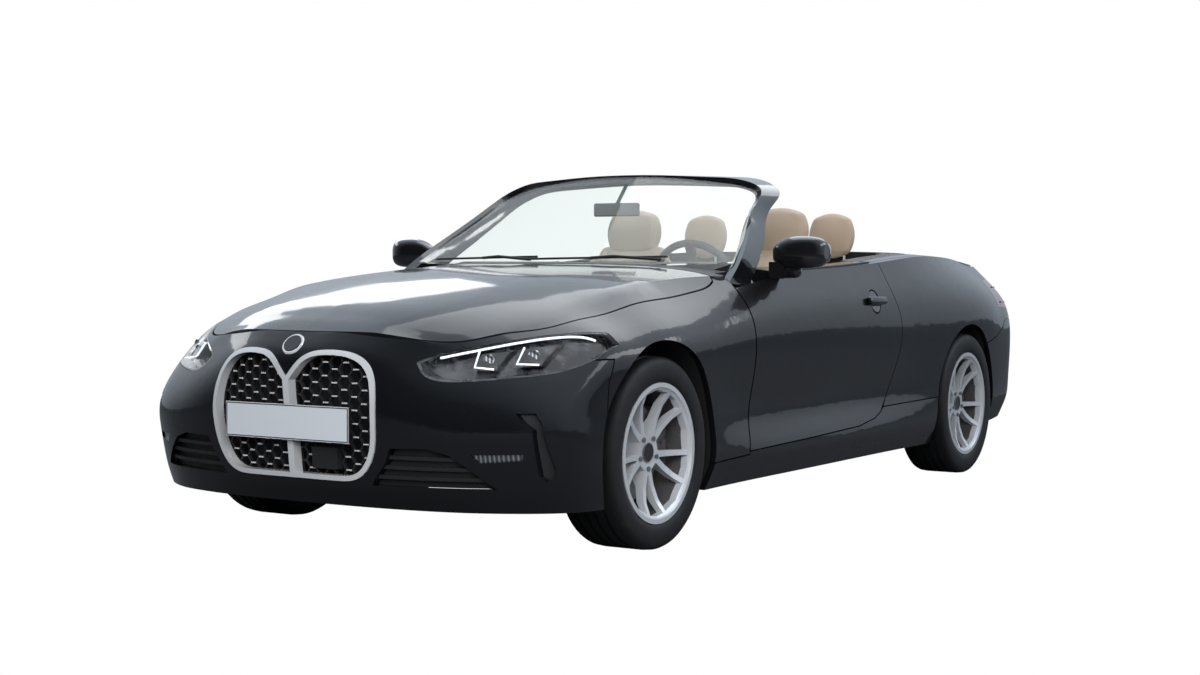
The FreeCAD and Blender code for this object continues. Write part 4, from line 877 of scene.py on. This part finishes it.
class OPENCAR_OT_front(bpy.types.Operator):
    """Adds the grille's bright bars and backing, the badge disc, the plate's edge and the towing cover"""

    bl_idname = "open_car.front"
    bl_label = "Front"

    def execute(self, context):
        self.bars()
        self.badge()
        self.plate_edge()
        self.tow_cover()
        self.backing()
        return {"FINISHED"}

    def bars(self):
        mesh = Surface("grille_mesh")
        ring = Surface("grille_surround")
        bm = bmesh.new()
        for column in range(MESH_COLUMNS):
            x = (column + 0.5) * 1.5 * HEX_SIDE
            z = MESH_Z[0] + column % 2 * HEX_RISE - HEX_RISE
            while z < MESH_Z[1]:
                for side in (-1, 1):
                    if side < 0 or not (within(x, SENSOR_X) and within(z, SENSOR_Z)):
                        self.bar(bm, mesh, ring, side * x, z)
                z += 2 * HEX_RISE
        keep(bm, "grille_bars", "bright", "body", "bright")

    def bar(self, bm, mesh, ring, x, z):
        """Adds one bar, unless the surround covers its place."""
        start = Vector((x, -3, z))
        place, normal = mesh.hit(start, Y)
        clear = [ring.hit(start + X * d, Y)[0] is None for d in (-BAR_REACH, 0, BAR_REACH)]
        if place is not None and all(clear) and normal.y < -0.5:
            box(bm, BAR_SIZE, place + normal * 0.0012, facing(normal), 0.001, 1)

    def badge(self):
        place, normal = Surface("front_bumper").hit(Vector((0, -3, BADGE_Z)), Y)
        for name, radius, depth, lift, material in BADGE_DISCS:
            plate = (radius, depth, place + normal * lift, normal, 64)
            keep_shape(disc, plate, name, material, "body", material)

    def plate_edge(self):
        low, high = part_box("front_plate")
        middle = Vector((0, low.y, (low.z + high.z) / 2))
        points = frame_of(middle, X * (high.x - PLATE_EDGE), Z * ((high.z - low.z) / 2 - PLATE_EDGE))
        keep_shape(tube, (points, 0.0022, True), "front_plate_edge", "dark_plastic", "body", "plate")

    def tow_cover(self):
        skin = Surface("front_bumper")
        corners = frame_of(*TOW_COVER)
        points = []
        for a, b in zip(corners, corners[1:] + corners[:1]):
            points += skin.line(row_of(a, b, 8)[:-1], Y, -0.0004)
        keep_shape(tube, (points, 0.0010, True), "tow_cover_line", "seal", "body", "paint")

    def backing(self):
        bm = bmesh.new()
        for side in (-1, 1):
            box(bm, (0.31, 0.004, 0.37), spot(side * 0.175, -0.735, 0.475))
        keep(bm, "grille_backing", "dark_plastic", "body", "dark_plastic")


# Wheels
CAP_RADIUS = 0.033
CAP_DEPTH = 0.010
BOLTS = 5
BOLT_CIRCLE = 0.056
BOLT_RADII = (0.0095, 0.0085)
BOLT_DEPTH = 0.014
# Degrees round the axle of the caliper's five slices
CALIPER_ANGLES = (139, 152, 165, 178, 191)
CALIPER_BLOCKS = (
    # distance from the axle, aside from the disc, size across, along and out
    (0.186, 0.0, (0.066, 0.028, 0.046)),
    (0.147, 0.026, (0.013, 0.056, 0.042)),
    (0.147, -0.026, (0.013, 0.056, 0.042)),
)


class OPENCAR_OT_wheels(bpy.types.Operator):
    """Adds the centre caps, wheel bolts and brake calipers"""

    bl_idname = "open_car.wheels"
    bl_label = "Wheels"

    def execute(self, context):
        for corner in CORNERS:
            side = -1 if "right" in corner else 1
            self.hub(corner, side)
            self.caliper(corner, side)
        return {"FINISHED"}

    def hub(self, corner, side):
        node = "rim_" + corner
        body = NODE_BODY[node]
        middle = centre_of(node)
        rim = Surface(node)
        out = X * side
        # The hub is met a little beside its middle, where it is flat
        middle.x = rim.hit(Vector((side * 2, middle.y + 0.012, middle.z + 0.012)), -out)[0].x
        cap = (CAP_RADIUS, CAP_DEPTH, middle, out, 48)
        keep_shape(disc, cap, node + "_cap", "gloss_black", body, "gloss_black")
        bm = bmesh.new()
        rim_of_cap = circle_of(middle + out * CAP_DEPTH / 2, Y * CAP_RADIUS, Z * CAP_RADIUS, 40)
        tube(bm, rim_of_cap, 0.0018, closed=True)
        for k in range(BOLTS):
            turn = math.tau * (k + 0.5) / BOLTS
            start = middle + (Y * math.sin(turn) + Z * math.cos(turn)) * BOLT_CIRCLE + out * 2
            seat = rim.hit(start, -out)[0]
            if seat is not None:
                rod(bm, BOLT_RADII, BOLT_DEPTH, seat, facing(out), 6)
        keep(bm, node + "_bolts", "brake", body, "alloy")

    def caliper(self, corner, side):
        front = corner.startswith("front")
        carrier = ("knuckle_right" if side < 0 else "knuckle_left") if front else "rear_axle"
        axle = FRONT_AXLE_Y if front else REAR_AXLE_Y
        bm = bmesh.new()
        for degrees in CALIPER_ANGLES:
            angle = math.radians(degrees)
            out = Vector((0, -math.cos(angle), math.sin(angle)))
            for radius, aside, size in CALIPER_BLOCKS:
                place = Vector((side * (DISC_PLANES[front] + aside), axle, AXLE_Z)) + out * radius
                box(bm, size, place, Matrix.Rotation(angle, 3, "X"), 0.004)
        keep(bm, "caliper_" + corner, "iron", NODE_BODY[carrier], "iron")


# Outer trim
BELT_X = 0.80
HANDLE_BEHIND = 1.796
HANDLE_Z = 0.823
HANDLE_SIZE = (0.172, 0.034, 0.024)
# The skin is met beside the handle, past the edge of its pocket
HANDLE_PROBE = (HANDLE_BEHIND + 0.062, 0.845)
WIPERS = ((0.50, -0.12), (-0.06, -0.62))
WIPER_Z = (0.995, 0.985)
MIRROR_HALF = (0.072, 0.045)
MIRROR_SQUARENESS = 0.6
# How far the glass lies outwards and up from the housing's middle
GLASS_SHIFT = (0.035, 0.018)
MIRROR_FOOT = (0.118, 0.052, 0.052)
REFLECTOR_ENDS = ((0.62, 0.36), (0.80, 0.37))
BOOT_HANDLE_SIZE = (0.22, 0.016, 0.012)
BOOT_HANDLE_Z = 0.665


class OPENCAR_OT_trim(bpy.types.Operator):
    """Adds the belt seals, handles, wipers, mirror glasses and feet, rear reflectors and the boot's handle"""

    bl_idname = "open_car.trim"
    bl_label = "Trim"

    def execute(self, context):
        self.belt()
        self.handles()
        self.wipers()
        self.mirrors()
        self.rear()
        return {"FINISHED"}

    def belt(self):
        for side, node in DOORS:
            low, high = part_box(node)
            starts = [Vector((side * BELT_X, low.y + (high.y - low.y) * k / 24, 2)) for k in range(3, 24)]
            points = Surface(node).line(starts, -Z, 0.001)
            keep_shape(tube, (points, 0.006), node + "_seal", "seal", node, "dark_plastic")

    def handles(self):
        for side, node in DOORS:
            place, normal = Surface(node).hit(spot(side * 2, *HANDLE_PROBE), X * -side)
            place.y, place.z = FRONT_AXLE_Y + HANDLE_BEHIND, HANDLE_Z
            # A gloss black disc laid on the skin behind the handle is painted shade for the handle's recess
            recess_shade = (0.050, 0.006, place, normal, 56)
            keep_shape(disc, recess_shade, node + "_handle_recess_shade", "gloss_black", node, "gloss_black")
            bar = (HANDLE_SIZE, place + normal * 0.016, facing(normal), 0.011, 4)
            keep_shape(box, bar, node + "_handle", "paint", node, "paint")

    def wipers(self):
        skin = Surface("windscreen", "cowl")
        bm = bmesh.new()
        for ends in WIPERS:
            starts = row_of(*[Vector((x, -3, z)) for x, z in zip(ends, WIPER_Z)], 13)
            points = skin.line(starts, Y, 0.010)
            tube(bm, points, 0.0045)
            pivot = points[0] + Vector((0, -0.05, -0.012))
            tube(bm, [pivot, points[4] + Vector((0, -0.012, 0.004)), points[6]], 0.006)
        keep(bm, "wipers", "dark_plastic", "body", "dark_plastic")

    def mirrors(self):
        for side, node in MIRRORS:
            low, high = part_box(node)
            middle = centre_of(node) + Vector((side * GLASS_SHIFT[0], 3, GLASS_SHIFT[1]))
            middle.y = Surface(node).hit(middle, -Y)[0].y - 0.004
            self.glass(node, middle)
            inner = min(abs(low.x), abs(high.x))
            place = Vector((side * (inner + 0.062), (low.y + high.y) / 2, low.z + 0.029))
            foot = (MIRROR_FOOT, place, None, 0.024, 4)
            keep_shape(box, foot, node + "_foot", "gloss_black", NODE_BODY[node], "gloss_black")

    def glass(self, node, middle):
        """Makes the mirror's glass, a rounded rectangle."""
        bm = bmesh.new()
        made = bmesh.ops.create_circle(bm, cap_ends=True, segments=48, radius=1)["verts"]
        for v in made:
            x, z = [abs(c) ** MIRROR_SQUARENESS * math.copysign(1, c) for c in v.co.xy]
            v.co = middle + X * (MIRROR_HALF[0] * x) + Z * (MIRROR_HALF[1] * z)
        top = bmesh.ops.extrude_face_region(bm, geom=bm.faces[:])["geom"]
        bmesh.ops.translate(bm, vec=(0, 0.009, 0), verts=only(bmesh.types.BMVert, top))
        bmesh.ops.recalc_face_normals(bm, faces=bm.faces)
        keep(bm, node + "_glass", "mirror", NODE_BODY[node], "gloss_black")

    def rear(self):
        skin = Surface("rear_bumper")
        bm = bmesh.new()
        for side in (-1, 1):
            ends = [Vector((side * x, 4, z)) for x, z in REFLECTOR_ENDS]
            tube(bm, skin.line(row_of(*ends, 10), -Y, -0.004), 0.006)
        keep(bm, "rear_reflectors", "red_lamp", "body", "red_lamp")
        place, normal = Surface("boot_lid").hit(Vector((0, 4, BOOT_HANDLE_Z)), -Y)
        handle = (BOOT_HANDLE_SIZE, place - normal * 0.004, facing(normal), 0.004)
        keep_shape(box, handle, "boot_handle", "gloss_black", "boot_lid", "gloss_black")


# Cabin trim
SCREENS = (
    # middle, width and height
    (0.40, 0.26, 0.10),
    (0.09, 0.27, 0.11),
)
SCREEN_Z = 0.885
VENTS = (-0.56, -0.03, 0.08, 0.60)
VENT_Z = 0.79
VENT_HALF = (0.045, 0.022)
SLAT_GAP = 0.011
GRIP = (
    # out from the door, along it as a share of its length, and up
    (0.004, -0.02, 0.10),
    (0.034, 0.0, 0.11),
    (0.034, 0.11, 0.115),
    (0.004, 0.13, 0.11),
)
TRIM_ENDS = ((0.12, 0.80), (0.9, 0.78))
CONSOLE_BLOCKS = (
    # size, place, rounding and its segments
    ((0.060, 0.090, 0.012), (0, 0, 0), 0.005, 2),
    ((0.034, 0.050, 0.050), (0, -0.01, 0.028), 0.010, 3),
)
CUP_RADIUS = 0.040
CUPS_BEHIND = (0.12, 0.20)
SPEAKER_RADIUS = 0.075
HUB_RADIUS = 0.058
STEERING_LEAN = math.radians(-65)


class OPENCAR_OT_cabin(bpy.types.Operator):
    """Adds the screens, air vents, door trims, console details and the steering wheel's hub"""

    bl_idname = "open_car.cabin"
    bl_label = "Cabin"

    def execute(self, context):
        self.dash()
        self.doors()
        self.console()
        self.wheel()
        return {"FINISHED"}

    def dash(self):
        skin = Surface("dashboard")
        place, _ = skin.hit(Vector((0.2, 3, 0.86)), -Y)
        bm = bmesh.new()
        for middle, width, height in SCREENS:
            box(bm, (width, 0.012, height), Vector((middle, place.y + 0.004, SCREEN_Z)), None, 0.004)
        keep(bm, "dash_screens", "screen", "body", "dark_plastic")
        bm = bmesh.new()
        slats = bmesh.new()
        for middle in VENTS:
            face = skin.hit(Vector((middle, 3, VENT_Z)), -Y)[0]
            if face is None:
                continue
            tube(bm, frame_of(face + Y * 0.002, X * VENT_HALF[0], Z * VENT_HALF[1]), 0.0035, closed=True)
            for k in (-1, 0, 1):
                box(slats, (0.084, 0.010, 0.003), face + Y * 0.003 + Z * SLAT_GAP * k)
        keep(bm, "vent_frames", "brake", "body", "dark_plastic")
        keep(slats, "vent_slats", "gloss_black", "body", "dark_plastic")

    def doors(self):
        for side, node in DOORS:
            skin = Surface(node)
            low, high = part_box(node)
            length = high.y - low.y
            inner = skin.hit(Vector((0, low.y + length * 0.5, 0.62)), X * side)[0]
            at = Vector((inner.x, low.y + length * 0.52, 0.66))
            rest = ((0.050, length * 0.42, 0.055), at - X * side * 0.020, None, 0.018, 4)
            keep_shape(box, rest, node + "_armrest", "dark_leather", node, "leather")
            bm = bmesh.new()
            tube(bm, [at + Vector((-side * d, length * a, b)) for d, a, b in GRIP], 0.007, smooth=True)
            ends = [Vector((0, low.y + length * share, z)) for share, z in TRIM_ENDS]
            tube(bm, skin.line(row_of(*ends, 16), X * side, 0.001), 0.004)
            keep(bm, node + "_pull", "brake", node, "leather")
            sound = skin.hit(Vector((0, low.y + length * 0.22, 0.45)), X * side)[0]
            grille = (SPEAKER_RADIUS, 0.008, sound, X * -side, 48)
            keep_shape(disc, grille, node + "_speaker", "dark_plastic", node, "dark_plastic")

    def console(self):
        low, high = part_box("centre_console")
        middle = Vector(((low.x + high.x) / 2, low.y + (high.y - low.y) * 0.30, high.z))
        bm = bmesh.new()
        for size, place, rounding, segments in CONSOLE_BLOCKS:
            box(bm, size, middle + Vector(place), None, rounding, segments)
        for behind in CUPS_BEHIND:
            ring = circle_of(middle + Vector((0, behind, 0.001)), X * CUP_RADIUS, Y * CUP_RADIUS, 32)
            tube(bm, ring, 0.003, closed=True)
        keep(bm, "console_details", "gloss_black", "body", "dark_plastic")
        rest = ((0.12, 0.26, 0.05), Vector((middle.x, high.y - 0.17, high.z + 0.012)), None, 0.018, 4)
        keep_shape(box, rest, "console_armrest", "dark_leather", "body", "leather")

    def wheel(self):
        axis = Matrix.Rotation(STEERING_LEAN, 3, "X") @ Z
        hub = (HUB_RADIUS, 0.050, centre_of("steering_wheel") + axis * 0.012, axis, 48)
        keep_shape(disc, hub, "steering_hub", "dark_leather", "steering", "leather")


# Tyres
TREAD_GROOVES = 4
GROOVE_DEPTH = 0.007
BEAD_RADIUS = 0.231
TURNING_STEPS = 120


def tyre_section(width, tread, bead):
    """Points (radius, offset) round half a tyre, from its bead to the middle of its tread."""
    half = width / 2
    shoulder = [(bead, half * 0.86), (bead + 0.012, half * 0.93), (bead + 0.020, half * 0.975),
                (bead + 0.035, half * 0.995), (bead + 0.052, half), (tread * 0.925, half * 0.985),
                (tread * 0.955, half * 0.955), (tread * 0.978, half * 0.90), (tread * 0.992, half * 0.82)]
    ribs = []
    groove = half * 0.075
    floor = tread - GROOVE_DEPTH
    for k in range(TREAD_GROOVES // 2):
        middle = half * (0.52 - 0.36 * k)
        ribs += [(tread, middle + groove), (floor, middle + groove * 0.8), (floor, middle - groove * 0.8),
                 (tread, middle - groove)]
    return shoulder + ribs


class OPENCAR_OT_tyres(bpy.types.Operator):
    """Turns the four tyres with their grooves"""

    bl_idname = "open_car.tyres"
    bl_label = "Tyres"

    def execute(self, context):
        for corner in CORNERS:
            self.turn_tyre("tyre_" + corner)
        return {"FINISHED"}

    def turn_tyre(self, node):
        low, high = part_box(node)
        middle = (low + high) / 2
        section = tyre_section(high.x - low.x, (high.z - low.z) / 2, BEAD_RADIUS)
        points = [(r, b) for r, b in section] + [(r, -b) for r, b in reversed(section)]
        bm = bmesh.new()
        ring = [bm.verts.new(middle + Vector((b, 0, r))) for r, b in points]
        edges = [bm.edges.new(pair) for pair in zip(ring, ring[1:] + ring[:1])]
        bmesh.ops.spin(bm, geom=ring + edges, cent=middle, axis=X, angle=math.tau, steps=TURNING_STEPS,
                       use_merge=True)
        bmesh.ops.remove_doubles(bm, verts=bm.verts, dist=MERGE)
        bmesh.ops.recalc_face_normals(bm, faces=bm.faces)
        keep(bm, node + "_tread", "tyre", NODE_BODY[node], "tyre", (node,), 40)


# Seats
def pad(bm, size, crown, place, lean, rounding):
    """Adds a crowned cushion with rounded corners to a bmesh, leaned back by an angle in degrees."""
    one = bmesh.new()
    bmesh.ops.create_cube(one, size=2)
    bmesh.ops.subdivide_edges(one, edges=one.edges[:], cuts=7, use_grid_fill=True)
    half = Vector(size) / 2
    turn = Matrix.Rotation(math.radians(-lean), 3, "X")
    for vert in one.verts:
        u, v, w = vert.co
        swell = [(1 - a * a) * (1 - b * b) for a, b in ((v, w), (u, w), (u, v))]
        full = [1 - rounding * (a * a + b * b) / 4 for a, b in ((v, w), (u, w), (u, v))]
        spread = [along * fit * (side - crown + crown * rise)
                  for along, fit, side, rise in zip(vert.co, full, half, swell)]
        vert.co = turn @ Vector(spread) + place
    merge_in(bm, one)


def posts(bm, middle, length):
    """Adds the two rods of a headrest to a bmesh."""
    for aside in (-POST_ASIDE, POST_ASIDE):
        rod(bm, (POST_RADIUS, POST_RADIUS), length, middle + X * aside)


POST_ASIDE = 0.06
POST_RADIUS = 0.006
BASE_SIZE = (0.30, 0.42, 0.18)
# Aside, behind the front axle and up
BASE_AT = (0, 1.58, 0.285)
FRONT_POSTS_AT = (0, 1.94, 1.06)
REAR_POSTS_AT = (0.345, 2.562, 1.0)
ROUNDINGS = {"cushion": 0.15, "back": 0.25, "shell": 0.3, "rest": 0.38}
FRONT_PADS = (
    # part, size across, along and up, centre aside, behind the front axle and up, lean
    ("cushion", (0.30, 0.46, 0.13), (0, 1.470, 0.458), -5),
    ("cushion", (0.11, 0.46, 0.15), (0.185, 1.475, 0.468), -5),
    ("back", (0.29, 0.12, 0.52), (0, 1.835, 0.775), 17),
    ("back", (0.10, 0.15, 0.50), (0.185, 1.822, 0.760), 17),
    ("back", (0.38, 0.10, 0.15), (0, 1.925, 1.000), 17),
    ("shell", (0.43, 0.06, 0.60), (0, 1.895, 0.750), 17),
    ("rest", (0.285, 0.12, 0.215), (0, 1.935, 1.124), 6),
)
REAR_PADS = (
    ("cushion", (0.50, 0.30, 0.13), (0.30, 2.345, 0.462), -6),
    ("back", (0.50, 0.13, 0.47), (0.30, 2.545, 0.720), 10),
    ("rest", (0.235, 0.10, 0.215), (0.340, 2.562, 1.118), 4),
)


class OPENCAR_OT_seats(bpy.types.Operator):
    """Builds the leather front seats and the rear bench as crowned pads with their shells and posts"""

    bl_idname = "open_car.seats"
    bl_label = "Seats"

    def execute(self, context):
        look = context.scene.open_car_seat
        for node in ("front_seat_left", "front_seat_right"):
            middle = centre_of(node).x
            self.pads(node, FRONT_PADS, middle, look)
            self.base(node, middle)
        self.pads("rear_seats", REAR_PADS, 0, look)
        self.bench()
        return {"FINISHED"}

    def pads(self, node, table, middle, look):
        """Makes the pads of a seat. A pad that stands aside is there on both sides."""
        bm = bmesh.new()
        for part, size, (aside, behind, up), lean in table:
            for x in (aside, -aside) if aside else (0,):
                pad(bm, size, look.crown, spot(middle + x, behind, up), lean, ROUNDINGS[part])
        piece = keep(bm, node + "_pads", "leather", "body", "leather", (node,), 60)
        modify(piece, "SUBSURF", levels=look.levels, render_levels=look.levels)

    def base(self, node, middle):
        bm = bmesh.new()
        box(bm, BASE_SIZE, spot(*BASE_AT) + X * middle)
        posts(bm, spot(*FRONT_POSTS_AT) + X * middle, 0.1)
        keep(bm, node + "_base", "dark_plastic", "body", "leather")

    def bench(self):
        bm = bmesh.new()
        aside, behind, up = REAR_POSTS_AT
        for x in (aside, -aside):
            posts(bm, spot(x, behind, up), 0.12)
        keep(bm, "rear_seat_posts", "bright", "body", "leather")


GROUPS = (OPENCAR_Look, OPENCAR_Seat)
STEPS = (OPENCAR_OT_stage, OPENCAR_OT_panels, OPENCAR_OT_lamps, OPENCAR_OT_front, OPENCAR_OT_wheels,
         OPENCAR_OT_trim, OPENCAR_OT_cabin, OPENCAR_OT_tyres, OPENCAR_OT_seats)


class OPENCAR_PT_panel(bpy.types.Panel):
    """Shows the open car's settings and a button for each of its steps"""

    bl_label = "Open Car"
    bl_idname = "OPENCAR_PT_panel"
    bl_space_type = "VIEW_3D"
    bl_region_type = "UI"
    bl_category = "Open Car"

    def draw(self, context):
        for group in (context.scene.open_car_look, context.scene.open_car_seat):
            for name in group.bl_rna.properties.keys():
                if name not in ("rna_type", "name"):
                    self.layout.prop(group, name)
        for step in STEPS:
            self.layout.operator(step.bl_idname)


CLASSES = (*GROUPS, *STEPS, OPENCAR_PT_panel)


def register():
    for kind in CLASSES:
        bpy.utils.register_class(kind)
    bpy.types.Scene.open_car_look = bpy.props.PointerProperty(type=OPENCAR_Look)
    bpy.types.Scene.open_car_seat = bpy.props.PointerProperty(type=OPENCAR_Seat)


def unregister():
    del bpy.types.Scene.open_car_seat
    del bpy.types.Scene.open_car_look
    for kind in reversed(CLASSES):
        bpy.utils.unregister_class(kind)


def main():
    register()
    for step in STEPS:
        getattr(bpy.ops.open_car, step.bl_idname.split(".")[1])()


if __name__ == "__main__":
    main()
